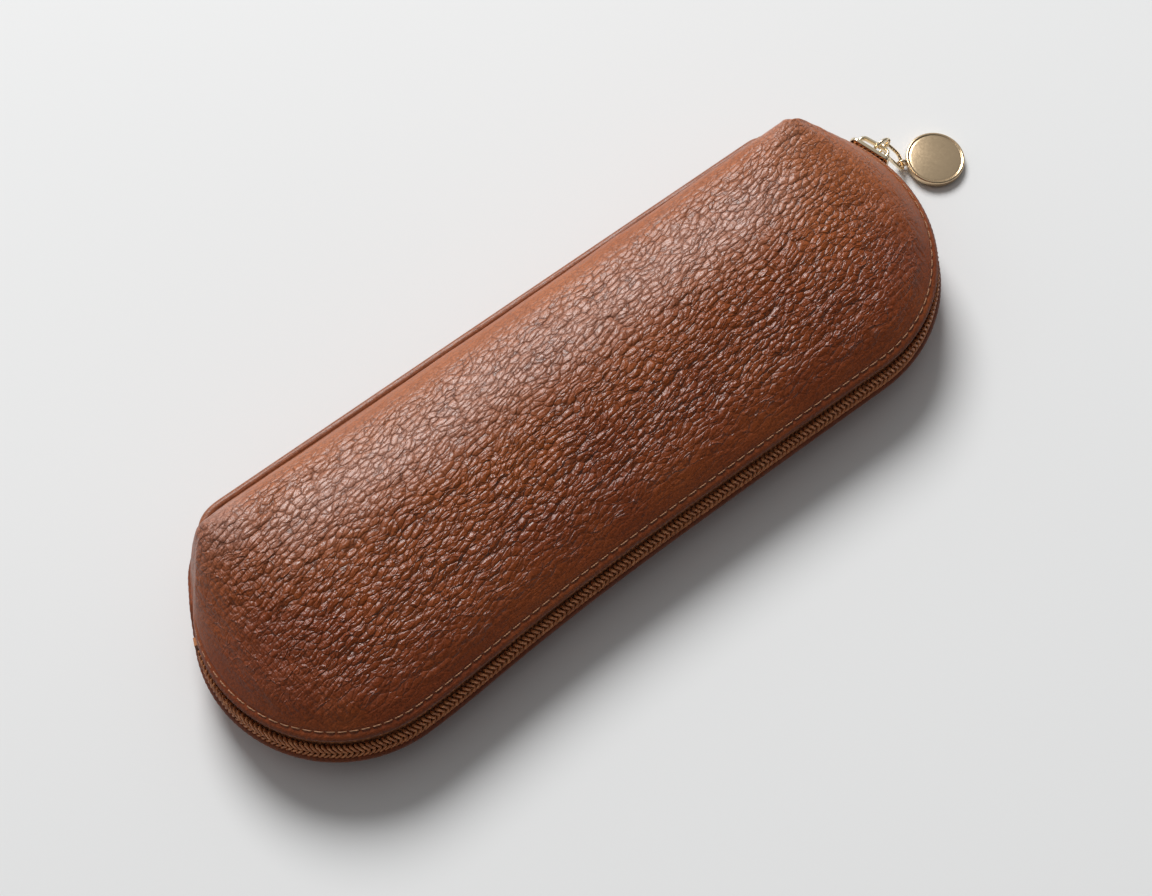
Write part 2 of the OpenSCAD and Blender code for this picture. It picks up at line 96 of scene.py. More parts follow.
STITCH_IN = 2.0               # from the leather's cut edge to the row of stitches
THREAD_R = 0.165
ROLL = 0.45
FRONT_TRIM = 1.0              # the front leather stops this far short of the zip
LIP_OUT, LIP_RISE = 0.85, 1.15
LIP_REACH = 5.0               # the lip runs out this far in from the back leather's edge
COIL_HIDDEN = 0.25            # at the right end the lip moves out, and the coil in, by this much
SKIN_STEP = (0.75, 0.46)      # spacing of the mesh on the back and on the front leather
SKIN_SPLIT = 0.5              # place on the sections where the rings stop and the plan patch starts
SKIN_RUN = 17.0               # sets the number of rings on the outer face
EDGE_CROWD = 1.25             # above 1, the rings crowd towards the leather's edge
INNER_STEP = 3.0              # spacing of the patch that closes the inner face
TAPE_SEWN = (0.12, 0.16, 0.2) # places on the sections that the tape runs through
TAPE_PAST = 0.24              # share of each corner that the tape runs on past the zip
TAPE_TUCK = 0.12              # height of the tape over the zip's plane where it runs on
THREAD_UP = 0.2               # height over the leather from which the thread dips
STITCH_DIP = (0.22, 0.50)     # dip of the thread at its middle, and what its ends gain
THREAD_TAPER = 0.35           # share of its radius that the thread loses at both ends
THREAD_FLAT = 0.85
GRAIN_PER_M = (340.0, 780.0, 780.0)   # scales of the leather's grain per metre, along and across
VEIN_PER_M = (210.0, 520.0, 520.0)

RIGHT_END, MOUTH, LEFT_END, LEFT_CORNER, BASE, RIGHT_CORNER = range(6)
MOUTH_Y = -CASE_W / 2
SEAM_Y = CASE_W / 2
RIGHT_C = np.array([CASE_L / 2 - END_R[0], MOUTH_Y + END_R[0]])
LEFT_C = np.array([END_R[1] - CASE_L / 2, MOUTH_Y - BELLY + END_R[1]])
RIGHT_LEN = math.radians(90 + REACH[0]) * END_R[0]
MOUTH_LEN = RIGHT_C[0] - LEFT_C[0]
LEFT_LEN = math.radians(90 + REACH[1]) * END_R[1]
ZIP_LEN = RIGHT_LEN + MOUTH_LEN + LEFT_LEN


# ---------------------------------------------------------------- plan outline and sections
def smooth(t):
    c = np.clip(t, 0.0, 1.0)
    return c * c * (3 - 2 * c)


def rising(x, start, over):
    """0 up to start, then smoothly up to 1 over the given length."""
    return smooth((x - start) / over)


def mix(a, b, t):
    return a + (b - a) * t


def polar(deg):
    a = np.radians(deg)
    return np.stack([np.cos(a), np.sin(a)], -1)


def unit(v):
    return v / np.linalg.norm(v, axis=-1, keepdims=True)


def stations(point, out, zone, t):
    return {"p": point, "n": out, "zone": np.full(len(t), zone), "t": t}


def join(parts):
    return {k: np.concatenate([p[k] for p in parts]) for k in parts[0]}


def moved_in(st, d):
    """The stations' plan points, d mm in from the outline; d is one number, or one for each."""
    return st["p"] - st["n"] * np.reshape(d, (-1, 1))


def with_z(xy, z):
    """Plan points with a height (one number, or one for each)."""
    return np.column_stack([xy, np.broadcast_to(z, len(xy))])


def zip_stations(s):
    """Stations at the lengths s (mm) along the zip, from its right end."""
    s = np.asarray(s, float)
    t_r = np.clip(s / RIGHT_LEN, 0, 1)
    t_m = np.clip((s - RIGHT_LEN) / MOUTH_LEN, 0, 1)
    t_l = np.clip((s - RIGHT_LEN - MOUTH_LEN) / LEFT_LEN, 0, 1)
    a_r = polar(mix(REACH[0], -90, t_r))
    a_l = polar(mix(-90, -180 - REACH[1], t_l))
    c = t_m ** 3
    slope = BELLY / MOUTH_LEN * 6 * c * (1 - c) * 3 * t_m ** 2
    mouth = np.stack([mix(RIGHT_C[0], LEFT_C[0], t_m), MOUTH_Y - BELLY * smooth(c)], -1)
    mouth_n = unit(np.stack([slope, -np.ones_like(slope)], -1))
    zone = np.where(s < RIGHT_LEN, RIGHT_END, np.where(s < RIGHT_LEN + MOUTH_LEN, MOUTH, LEFT_END))
    pick = zone[:, None]
    p = np.where(pick == RIGHT_END, RIGHT_C + END_R[0] * a_r,
                 np.where(pick == MOUTH, mouth, LEFT_C + END_R[1] * a_l))
    n = np.where(pick == RIGHT_END, a_r, np.where(pick == MOUTH, mouth_n, a_l))
    t = np.where(zone == RIGHT_END, t_r, np.where(zone == MOUTH, t_m, t_l))
    return {"p": p, "n": n, "zone": zone, "t": t}


def corner_run(start, reach):
    a = math.radians(reach)
    return (SEAM_Y - start[1] - CORNER_R * (1 - math.sin(a))) / math.cos(a)


RIGHT_START = RIGHT_C + END_R[0] * polar(REACH[0])
LEFT_START = LEFT_C + END_R[1] * polar(180 - REACH[1])
RIGHT_KNEE = RIGHT_START + corner_run(RIGHT_START, REACH[0]) * polar(REACH[0] + 90)
LEFT_KNEE = LEFT_START + corner_run(LEFT_START, REACH[1]) * polar(90 - REACH[1])
RIGHT_CC = RIGHT_KNEE - CORNER_R * polar(REACH[0])
LEFT_CC = LEFT_KNEE - CORNER_R * polar(180 - REACH[1])


def left_corner(t):
    straight = mix(LEFT_START, LEFT_KNEE, np.clip(t / LEFT_RUN, 0, 1)[:, None])
    a = polar(mix(180 - REACH[1], 90, np.clip((t - LEFT_RUN) / (1 - LEFT_RUN), 0, 1)))
    p = np.where(t[:, None] < LEFT_RUN, straight, LEFT_CC + CORNER_R * a)
    return stations(p, a, LEFT_CORNER, t)


def right_corner(t):
    past_arc = np.clip((t - RIGHT_ARC) / (1 - RIGHT_ARC), 0, 1)
    straight = mix(RIGHT_KNEE, RIGHT_START, past_arc[:, None])
    a = polar(mix(90, REACH[0], np.clip(t / RIGHT_ARC, 0, 1)))
    p = np.where(t[:, None] > RIGHT_ARC, straight, RIGHT_CC + CORNER_R * a)
    return stations(p, a, RIGHT_CORNER, t)


def base_line(t):
    p = np.stack([mix(LEFT_CC[0], RIGHT_CC[0], t), np.full(len(t), SEAM_Y)], -1)
    return stations(p, np.tile([0.0, 1.0], (len(t), 1)), BASE, t)


def closed_loop(step):
    """Stations about step mm apart, once round the outline, clockwise from the zip's right end."""
    def places(length):
        count = max(2, round(length / step))
        return np.arange(count) / count

    return join([
        zip_stations(places(ZIP_LEN) * ZIP_LEN),
        left_corner(places(CORNER_LEN[1])),
        base_line(places(RIGHT_CC[0] - LEFT_CC[0])),
        right_corner(places(CORNER_LEN[0])),
    ])


def off_zip(st):
    z, t = st["zone"], st["t"]
    return np.where(z == BASE, 1.0, np.where(z == LEFT_CORNER, smooth(t),
                    np.where(z == RIGHT_CORNER, smooth(1 - t), 0.0)))


def edge_points(st, side):
    z, t = st["zone"], st["t"]
    local = np.where(z == LEFT_CORNER, t, 1 - t)
    open_z = ZIP_Z + side * ZIP_WINDOW / 2
    met_z = ZIP_Z + side * SEAM_MEET
    welt_z = SEAM_Z + side * TAIL_CLEAR
    corner = np.where(local < SEAM_CLOSE, mix(open_z, met_z, smooth(local / SEAM_CLOSE)),
                      mix(met_z, welt_z, rising(local, SEAM_CLOSE, 1 - SEAM_CLOSE)))
    height = np.where(z == BASE, welt_z,
                      np.where((z == LEFT_CORNER) | (z == RIGHT_CORNER), corner, open_z))
    return with_z(moved_in(st, mix(EDGE_IN, WELT_GROOVE, off_zip(st))), height)


# the two peaks of the soft front are moved a little from the CAD form's, to follow the photo
PEAK_SHIFT = ((-1.2, 0.6), (0.4, -2.0))
RIGHT_PEAK = np.array([CASE_L / 2 - PEAK_IN[0] + PEAK_SHIFT[0][0],
                       SEAM_Y - PEAK_IN[1] + PEAK_SHIFT[0][1], PEAK_H])
LEFT_PEAK = np.array([PEAK_IN[0] - CASE_L / 2 + PEAK_SHIFT[1][0],
                      SEAM_Y - PEAK_IN[1] + PEAK_SHIFT[1][1], PEAK_H])


def front_poles(st):
    z, t = st["zone"], st["t"]
    arc = np.sin(np.pi * np.clip(t, 0, 1))
    along = mix(LEFT_PEAK, RIGHT_PEAK, t[:, None]) + (
        np.array([0, CREASE_OUT, -CREASE_SAG]) * (arc ** 0.6)[:, None])
    mouth = with_z(moved_in(st, SHOULDER_IN), SHOULDER_H)
    fade = np.where(z == RIGHT_END, t, 1 - t)
    start = np.where((z == RIGHT_END)[:, None], RIGHT_PEAK, LEFT_PEAK)
    inset = moved_in(st, mix(RIDGE_IN, SHOULDER_IN, smooth(fade)))
    b = smooth(fade / 0.5)
    end_xy = mix(start[:, :2], inset, b[:, None])
    end_z = mix(PEAK_H, SHOULDER_H, smooth(fade * 0.6 + 0.4 * b))
    k = np.where((z == BASE)[:, None], along, with_z(end_xy, end_z))
    k = np.where((z == MOUTH)[:, None], mouth, k)
    k = np.where((z == LEFT_CORNER)[:, None], LEFT_PEAK, k)
    k = np.where((z == RIGHT_CORNER)[:, None], RIGHT_PEAK, k)
    w_end = mix(PEAK_WEIGHT, 1.0, smooth(fade / 0.6) ** 0.5)
    w = np.where(z == BASE, mix(PEAK_WEIGHT, CREASE_WEIGHT, arc ** 0.5), w_end)
    w = np.where(z == MOUTH, 1.0, w)
    w = np.where((z == LEFT_CORNER) | (z == RIGHT_CORNER), PEAK_WEIGHT, w)
    return k, w


def crown_points(st, radius=CROWN_R, height=CROWN_H):
    lim = CASE_L / 2 - CROWN_IN
    q = np.stack([np.clip(st["p"][:, 0], -lim, lim), np.full(len(st["t"]), CROWN_Y)], -1)
    p = q + radius * unit(st["p"] - q)
    return with_z(p, height)


def back_poles(st):
    o = off_zip(st)
    k = with_z(moved_in(st, mix(TURN_IN, BASE_TURN_IN, o)), 0.0)
    return k, mix(BACK_WEIGHT, BASE_WEIGHT, o)


def section(st, side, d):
    """Edge, pole, end and weight of the skin that lies d mm inside the leather's outer face."""
    e = edge_points(st, side)
    if side > 0:
        k, w = front_poles(st)
        c = crown_points(st)
    else:
        k, w = back_poles(st)
        c = with_z(moved_in(st, FLAT_IN), 0.0)
    run = k[:, :2] - e[:, :2]
    run_l = np.linalg.norm(run, axis=1, keepdims=True)
    rise = np.abs(k[:, 2:] - e[:, 2:])
    slant = np.hypot(run_l, rise)
    down = np.array([0, 0, -side])
    e = e + with_z(unit(run) * d * rise / slant, 0.0) + down * d * run_l / slant
    k = k + with_z(unit(c[:, :2] - k[:, :2]) * d * rise / slant, 0.0) + down * d
    return e, k, c + down * d, w


def on_section(q, s):
    """Points of the sections q at the place s (one number, or one for each station)."""
    e, k, c, w = q
    s = np.broadcast_to(np.asarray(s, float), w.shape)[:, None]
    a = (1 - s) ** 2
    b = 2 * w[:, None] * s * (1 - s)
    return (a * e + b * k + s * s * c) / (a + b + s * s)


# ---------------------------------------------------------------- noise, in mm
def hash3(i, j, k, seed):
    h = (i * 374761393 + j * 668265263 + k * 2147483647 + seed * 974634777) & 0xFFFFFFFF
    h = ((h ^ (h >> 13)) * 1274126177) & 0xFFFFFFFF
    h = ((h ^ (h >> 16)) * 2246822519) & 0xFFFFFFFF
    return ((h ^ (h >> 15)) & 0xFFFF) / 65535.0


def value_noise(p, cell, seed):
    """Smooth noise from -1 to 1 with features of about cell mm."""
    q = p / cell
    base = np.floor(q).astype(np.int64)
    f = q - base
    f = f * f * (3 - 2 * f)
    total = np.zeros(len(p))
    for dx in (0, 1):
        for dy in (0, 1):
            for dz in (0, 1):
                w = (np.where(dx, f[:, 0], 1 - f[:, 0]) * np.where(dy, f[:, 1], 1 - f[:, 1])
                     * np.where(dz, f[:, 2], 1 - f[:, 2]))
                total += w * hash3(base[:, 0] + dx, base[:, 1] + dy, base[:, 2] + dz, seed)
    return total * 2 - 1


# ---------------------------------------------------------------- mesh helpers
def read_threes(items, key, kind=np.float32):
    """One row of three numbers for each of a mesh's vertices, normals or triangles."""
    out = np.empty(len(items) * 3, kind)
    items.foreach_get(key, out)
    return out.reshape(-1, 3)


def volume(mesh):
    """Six times the signed volume of a closed mesh, below zero where its faces point inwards."""
    mesh.calc_loop_triangles()
    co = read_threes(mesh.vertices, "co").astype(float)
    tri = read_threes(mesh.loop_triangles, "vertices", np.int32)
    a, b, c = co[tri].transpose(1, 0, 2)
    return float(np.einsum("ij,ij->", a, np.cross(b, c)))


def new_object(name, verts_mm, faces):
    mesh = bpy.data.meshes.new(name)
    mesh.from_pydata((np.asarray(verts_mm) * MM).tolist(), [], faces)
    mesh.update()
    if volume(mesh) < 0:
        mesh.flip_normals()
    mesh.shade_smooth()
    obj = bpy.data.objects.new(name, mesh)
    bpy.context.scene.collection.objects.link(obj)
    return obj


def ring_faces(n, m, flip=False):
    """Quads between m rings of n points each."""
    i = np.arange(n)
    quad = np.stack([i, (i + 1) % n, (i + 1) % n + n, i + n], 1)
    quads = (np.arange(m - 1)[:, None, None] * n + quad).reshape(-1, 4)
    return (quads[:, ::-1] if flip else quads).tolist()


def capped(n, m, flip=False):
    """Ring faces, with the first and the last ring closed."""
    ends = [list(range(n - 1, -1, -1)), list(range((m - 1) * n, m * n))]
    return ring_faces(n, m, flip) + ([e[::-1] for e in ends] if flip else ends)


def loft(rings, flip=False):
    """Points and faces of a closed form through rings of as many points each."""
    rings = np.asarray(rings)
    return rings.reshape(-1, 3), capped(rings.shape[1], rings.shape[0], flip=flip)


def circle(n):
    return np.linspace(0, 2 * np.pi, n, endpoint=False)


def hoops(path, radius, sides, u, v):
    """A ring round each point of the path, spanned by its u and v."""
    a = circle(sides)
    r = np.broadcast_to(np.asarray(radius, float), (len(path),))[:, None, None]
    return path[:, None] + r * (np.cos(a)[:, None] * u[:, None] + np.sin(a)[:, None] * v[:, None])


def set_attribute(obj, name, values):
    layer = obj.data.attributes.new(name, "FLOAT", "POINT")
    layer.data.foreach_set("value", np.asarray(values, np.float32))


# ---------------------------------------------------------------- materials
class Nodes:
    """A node tree, with one call for a node, its settings and what feeds it."""

    def __init__(self, tree):
        self.tree = tree

    def feed(self, socket, value):
        if isinstance(value, bpy.types.NodeSocket):
            self.tree.links.new(value, socket)
        else:
            socket.default_value = value

    def node(self, kind, inputs, **props):
        n = self.tree.nodes.new("ShaderNode" + kind)
        for key, value in props.items():
            setattr(n, key, value)
        for key, value in inputs.items():
            self.feed(n.inputs[key], value)
        return n


class Shader(Nodes):
    """A material's Principled shader, and the patterns that feed it."""

    def __init__(self, name):
        self.mat = bpy.data.materials.new(name)
        self.mat.use_nodes = True
        super().__init__(self.mat.node_tree)
        self.bsdf = self.tree.nodes["Principled BSDF"]
        self.coords = self.node("TexCoord", {}).outputs["Object"]

    def set(self, **sockets):
        for key, value in sockets.items():
            self.feed(self.bsdf.inputs[key.replace("_", " ")], value)

    def attribute(self, name):
        return self.node("Attribute", {}, attribute_name=name).outputs["Fac"]

    def stretched(self, stretch):
        return self.node("Mapping", {"Vector": self.coords, "Scale": stretch}).outputs["Vector"]

    def scaled(self, vector, size):
        return self.node("VectorMath", {0: vector, 1: size}, operation="MULTIPLY").outputs["Vector"]

    def noise(self, scale, detail=3.0, rough=0.5, vector=None):
        vector = self.coords if vector is None else vector
        return self.node("TexNoise", {"Vector": vector, "Scale": scale, "Detail": detail,
                                      "Roughness": rough}).outputs["Fac"]

    def push(self, vector, scale, reach):
        """The vector, pushed about by up to half of reach (m) by noise of the given scale."""
        noise = self.node("TexNoise", {"Vector": vector, "Scale": scale, "Detail": 2.0})
        return self.node("VectorMath", {0: noise.outputs["Color"], 1: (reach,) * 3, 2: vector},
                         operation="MULTIPLY_ADD").outputs["Vector"]

    def cells(self, vector, size, feature):
        """Distance to the middle, or to the border, of a Voronoi cell, in shares of a cell."""
        return self.node("TexVoronoi", {"Vector": self.scaled(vector, size), "Scale": 1.0,
                                        "Randomness": 0.9}, feature=feature).outputs["Distance"]

    def bands(self, vector, scale, distortion=0.0):
        return self.node("TexWave", {"Vector": vector, "Scale": scale, "Distortion": distortion},
                         wave_type="BANDS", bands_direction="DIAGONAL").outputs["Fac"]

    def ramp(self, fac, stops):
        r = self.node("ValToRGB", {"Fac": fac})
        el = r.color_ramp.elements
        while len(el) < len(stops):
            el.new(0.5)
        for e, (pos, color) in zip(el, stops):
            e.position = pos
            e.color = (*color, 1)
        return r.outputs["Color"]

    def blend(self, fac, a, b):
        a, b = ((*c, 1) if isinstance(c, tuple) else c for c in (a, b))
        return self.node("Mix", {0: fac, 6: a, 7: b}, data_type="RGBA").outputs[2]

    def math(self, op, *values):
        return self.node("Math", dict(enumerate(values)), operation=op).outputs[0]

    def product(self, first, *others):
        for value in others:
            first = self.math("MULTIPLY", first, value)
        return first

    def total(self, *terms):
        """The sum of pairs of a socket and its weight."""
        out = 0.0
        for value, weight in terms:
            out = self.math("MULTIPLY_ADD", value, weight, out)
        return out

    def span(self, fac, low, high, start=0.0, stop=1.0):
        """A value from start..stop mapped, and held, to low..high."""
        return self.node("MapRange", {"Value": fac, "From Min": start, "From Max": stop,
                                      "To Min": low, "To Max": high}).outputs["Result"]

    def bump(self, height, strength, distance):
        self.set(Normal=self.node("Bump", {"Height": height, "Strength": strength,
                                           "Distance": distance}).outputs["Normal"])


LEATHER_LAYERS = ("grain", "painted_light", "rim", "painted_highlight", "pleat", "veined")


def leather_material(name, crease, base, light, gloss):
    """Pebbled leather: domed scales drawn out along the case, with pores; its colour holds painted
    light and shade (lighter on the lit side, darker towards the mouth), a painted highlight on the
    crest and painted shade in the creases.
    """
    s = Shader(name)
    grain, painted_light, rim, painted_highlight, pleat, veined = (s.attribute(key) for key in LEATHER_LAYERS)
    flow = s.node("Mapping", {"Vector": s.push(s.coords, 95.0, 0.0035),
                              "Rotation": (0, 0, math.radians(-12))}).outputs["Vector"]
    waved = s.push(flow, 520.0, 0.0007)
    # the patterns, from broad to fine
    cloud = s.noise(45.0, 3.0, 0.6)
    swell = s.noise(210.0, 2.0)
    dome = s.math("POWER", s.math("MULTIPLY", s.cells(waved, GRAIN_PER_M, "F1"), 1.25), 2.0)
    dome = s.math("SUBTRACT", 1.0, dome)
    line = s.span(s.cells(waved, GRAIN_PER_M, "DISTANCE_TO_EDGE"), 1.0, 0.0, 0.0, 0.13)
    vein = s.cells(s.push(waved, 300.0, 0.0016), VEIN_PER_M, "DISTANCE_TO_EDGE")
    broken = s.span(s.noise(330.0, 2.0), 0.0, 1.0, 0.46, 0.58)
    vein = s.product(s.span(vein, 1.0, 0.0, 0.0, 0.10), broken)
    drawn = s.noise(1.0, 2.0, vector=s.scaled(waved, (90.0, 430.0, 430.0)))
    crimp = s.noise(1.0, 2.0, vector=s.scaled(waved, (420.0, 1050.0, 1050.0)))
    crumb = s.cells(waved, tuple(2.6 * g for g in GRAIN_PER_M), "F1")
    cross = s.noise(900.0, 3.0, 0.55, s.stretched((1.0, 0.16, 0.16)))
    streak = s.noise(2100.0, 3.0, 0.6, s.stretched((0.045, 1.0, 1.0)))
    pores = s.noise(1900.0, 3.0, 0.75)
    # colour: painted light, lighter on the lit base side and darker towards the mouth and the left
    # end; a painted highlight on the crest; sanded by the pores; painted shade in the creases
    tone = s.blend(s.math("ADD", s.product(painted_light, 0.8), s.span(cloud, -0.1, 0.3, 0.3, 0.7)),
                   base, light)
    # painted highlight: a whitish haze over the crest, broken up by the pores
    tone = s.blend(s.product(painted_highlight, s.span(pores, 0.30, 0.75, 0.3, 0.7)), tone,
                   tuple(mix(c, 0.6, 0.30) for c in light))
    sand = s.span(pores, 0.62, 1.38, 0.32, 0.68)
    tone = s.node("VectorMath", {0: tone, "Scale": sand}, operation="SCALE").outputs["Vector"]
    # painted shade: the creases darken where the grain is, standing in for their shadow
    depth = s.product(line, s.span(drawn, 0.95, 0.35, 0.35, 0.6))
    tone = s.blend(s.product(depth, grain), tone, crease)
    s.set(Base_Color=s.blend(s.product(rim, 0.6), tone, crease), Specular_IOR_Level=0.44)
    smooth_part = s.product(s.math("SUBTRACT", 1.0, grain), 0.20)
    polish = s.span(pores, gloss - 0.08, gloss + 0.12, 0.3, 0.7)
    s.set(Roughness=s.math("ADD", polish, smooth_part))
    # relief
    pebbles = s.total((dome, 0.90), (line, -0.15), (drawn, 1.5), (crimp, 0.8), (crumb, -0.16),
                      (swell, 0.6))
    pebbles = s.product(pebbles, grain, s.span(painted_light, 1.30, 0.95, 0.45, 0.9))
    rest = s.math("SUBTRACT", 1.0, s.product(grain, 0.75))
    s.bump(s.total((pebbles, 1.0), (s.product(cross, pleat), 3.0), (s.product(vein, veined), 0.55),
                   (s.product(streak, rest), 0.34), (pores, 0.24)), 1.0, 0.00031)
    return s.mat


def cloth_material(name, dark, base, thread_mm, sheen):
    s = Shader(name)
    per_m = 1000.0 / thread_mm
    weave = s.product(*(s.bands(s.stretched(axis), per_m * 0.16, 0.4)
                        for axis in ((1.0, 0.0, 0.3), (0.0, 1.0, 0.3))))
    fuzz = s.span(s.noise(per_m * 0.8, 3.0, 0.7), -0.2, 0.3)
    s.bump(weave, 0.5, 0.0001)
    s.set(Base_Color=s.ramp(s.math("ADD", weave, fuzz), [(0.1, dark), (0.7, base)]),
          Roughness=0.85, Sheen_Weight=sheen, Specular_IOR_Level=0.25)
    return s.mat


def nylon_material():
    s = Shader("coil_nylon")
    stops = [(0.3, (0.27, 0.084, 0.026)), (0.55, (0.48, 0.170, 0.058)), (0.75, (0.66, 0.30, 0.13))]
    s.set(Base_Color=s.ramp(s.noise(900.0, 2.0), stops),
          Roughness=s.span(s.noise(500.0), 0.38, 0.6), Specular_IOR_Level=0.3)
    s.bump(s.noise(3000.0), 0.2, 0.00005)
    return s.mat


def thread_material():
    s = Shader("sewing_thread")
    twist = s.bands(s.coords, 900.0)
    s.set(Base_Color=s.ramp(twist, [(0.0, (0.18, 0.065, 0.024)), (0.6, (0.40, 0.185, 0.080))]),
          Roughness=0.6, Sheen_Weight=0.2)
    s.bump(twist, 0.6, 0.00008)
    return s.mat


def metal_material(name, color, rough, speck):
    s = Shader(name)
    deeper = tuple(c * 0.82 for c in color)
    s.set(Base_Color=s.blend(s.span(s.noise(120.0, 3.0, 0.6), 0.0, 1.0), deeper, color),
          Roughness=s.span(s.noise(1400.0, 3.0, 0.7), rough * 0.88, rough * 1.15, 0.3, 0.7),
          Metallic=1.0)
    s.bump(s.noise(2600.0, 3.0, 0.6), speck, 0.00002)
    return s.mat


def make_materials():
    return {
        # each leather: painted shade for its creases, its tone on the shaded side, its tone on the
        # lit side (painted light), and its roughness
        "leather": leather_material("pebbled_leather", (0.090, 0.020, 0.0035),
                                    (0.184, 0.032, 0.0025), (0.335, 0.084, 0.0120), 0.27),
        "edge": leather_material("smooth_leather", (0.11, 0.032, 0.012),
                                 (0.20, 0.060, 0.022), (0.28, 0.090, 0.035), 0.14),
        "lining": cloth_material("lining_cloth", (0.20, 0.115, 0.060), (0.36, 0.225, 0.125),
                                 0.45, 0.2),
        "tape": cloth_material("tape_cloth", (0.170, 0.054, 0.017), (0.330, 0.112, 0.038),
                               0.35, 0.0),
        "coil": nylon_material(),
        "thread": thread_material(),
        "gold": metal_material("pale_gold_polished", (0.95, 0.80, 0.57), 0.15, 0.05),
        "satin": metal_material("pale_gold_satin", (0.80, 0.60, 0.38), 0.20, 0.02),
        "lacquer": metal_material("brown_lacquered_metal", (0.20, 0.085, 0.040), 0.35, 0.10),
    }


# ---------------------------------------------------------------- leather, lining and tapes
def even_rings(q, places, count):
    """Rings along the sections q between two places, spaced by length, closer near the edge."""
    fine = np.linspace(0, 1, 160)
    pts = np.array([on_section(q, mix(places[0], places[1], f)) for f in fine])
    run = np.concatenate([np.zeros((1, pts.shape[1])),
                          np.cumsum(np.linalg.norm(np.diff(pts, axis=0), axis=2), 0)])
    share = run / run[-1]
    out = np.empty((count, pts.shape[1], 3))
    at = np.linspace(0, 1, count) ** EDGE_CROWD
    for i in range(pts.shape[1]):
        for k in range(3):
            out[:, i, k] = np.interp(at, share[:, i], pts[:, i, k])
    return out


def rows_inside(loop, spacing):
    """Points of a triangular lattice inside a plan loop, clear of the loop itself."""
    nxt = np.roll(loop, -1, 0)
    rise = spacing * math.sqrt(3) / 2
    out = []
    rows = np.arange(loop[:, 1].min() + rise, loop[:, 1].max(), rise)
    for j, y in enumerate(rows):
        hit = (loop[:, 1] <= y) != (nxt[:, 1] <= y)
        a, b = loop[hit], nxt[hit]
        xs = np.sort(a[:, 0] + (y - a[:, 1]) / (b[:, 1] - a[:, 1]) * (b[:, 0] - a[:, 0]))
        for x0, x1 in zip(xs[::2], xs[1::2]):
            x = np.arange(math.ceil(x0 / spacing) * spacing, x1, spacing) + (j % 2) * spacing / 2
            x = x[(x > x0) & (x < x1)]
            out.append(np.stack([x, np.full(len(x), y)], 1))
    pts = np.concatenate(out)
    near = nearest(pts, loop)[0]
    return pts[near > 0.62 * spacing]


def nearest(points, targets, chunk=4000):
    """Distance to, and index of, the nearest target for each point."""
    dist = np.empty(len(points))
    index = np.empty(len(points), int)
    for i in range(0, len(points), chunk):
        d = ((points[i:i + chunk, None] - targets[None]) ** 2).sum(-1)
        j = d.argmin(1)
        index[i:i + chunk] = j
        dist[i:i + chunk] = np.sqrt(d[np.arange(len(j)), j])
    return dist, index


def fill(loop, spacing):
    """A triangulated patch in plan: the loop's points first, then lattice points inside it."""
    inner = rows_inside(loop, spacing)
    coords = [Vector(v) for v in np.concatenate([loop, inner]).tolist()]
    verts, _, faces, origin, _, _ = delaunay_2d_cdt(coords, [], [list(range(len(loop)))], 1, 1e-7)
    back = [o[0] if o else -1 for o in origin]
    tris = [[back[v] for v in f] for f in faces]
    return inner, [t for t in tris if min(t) >= 0]


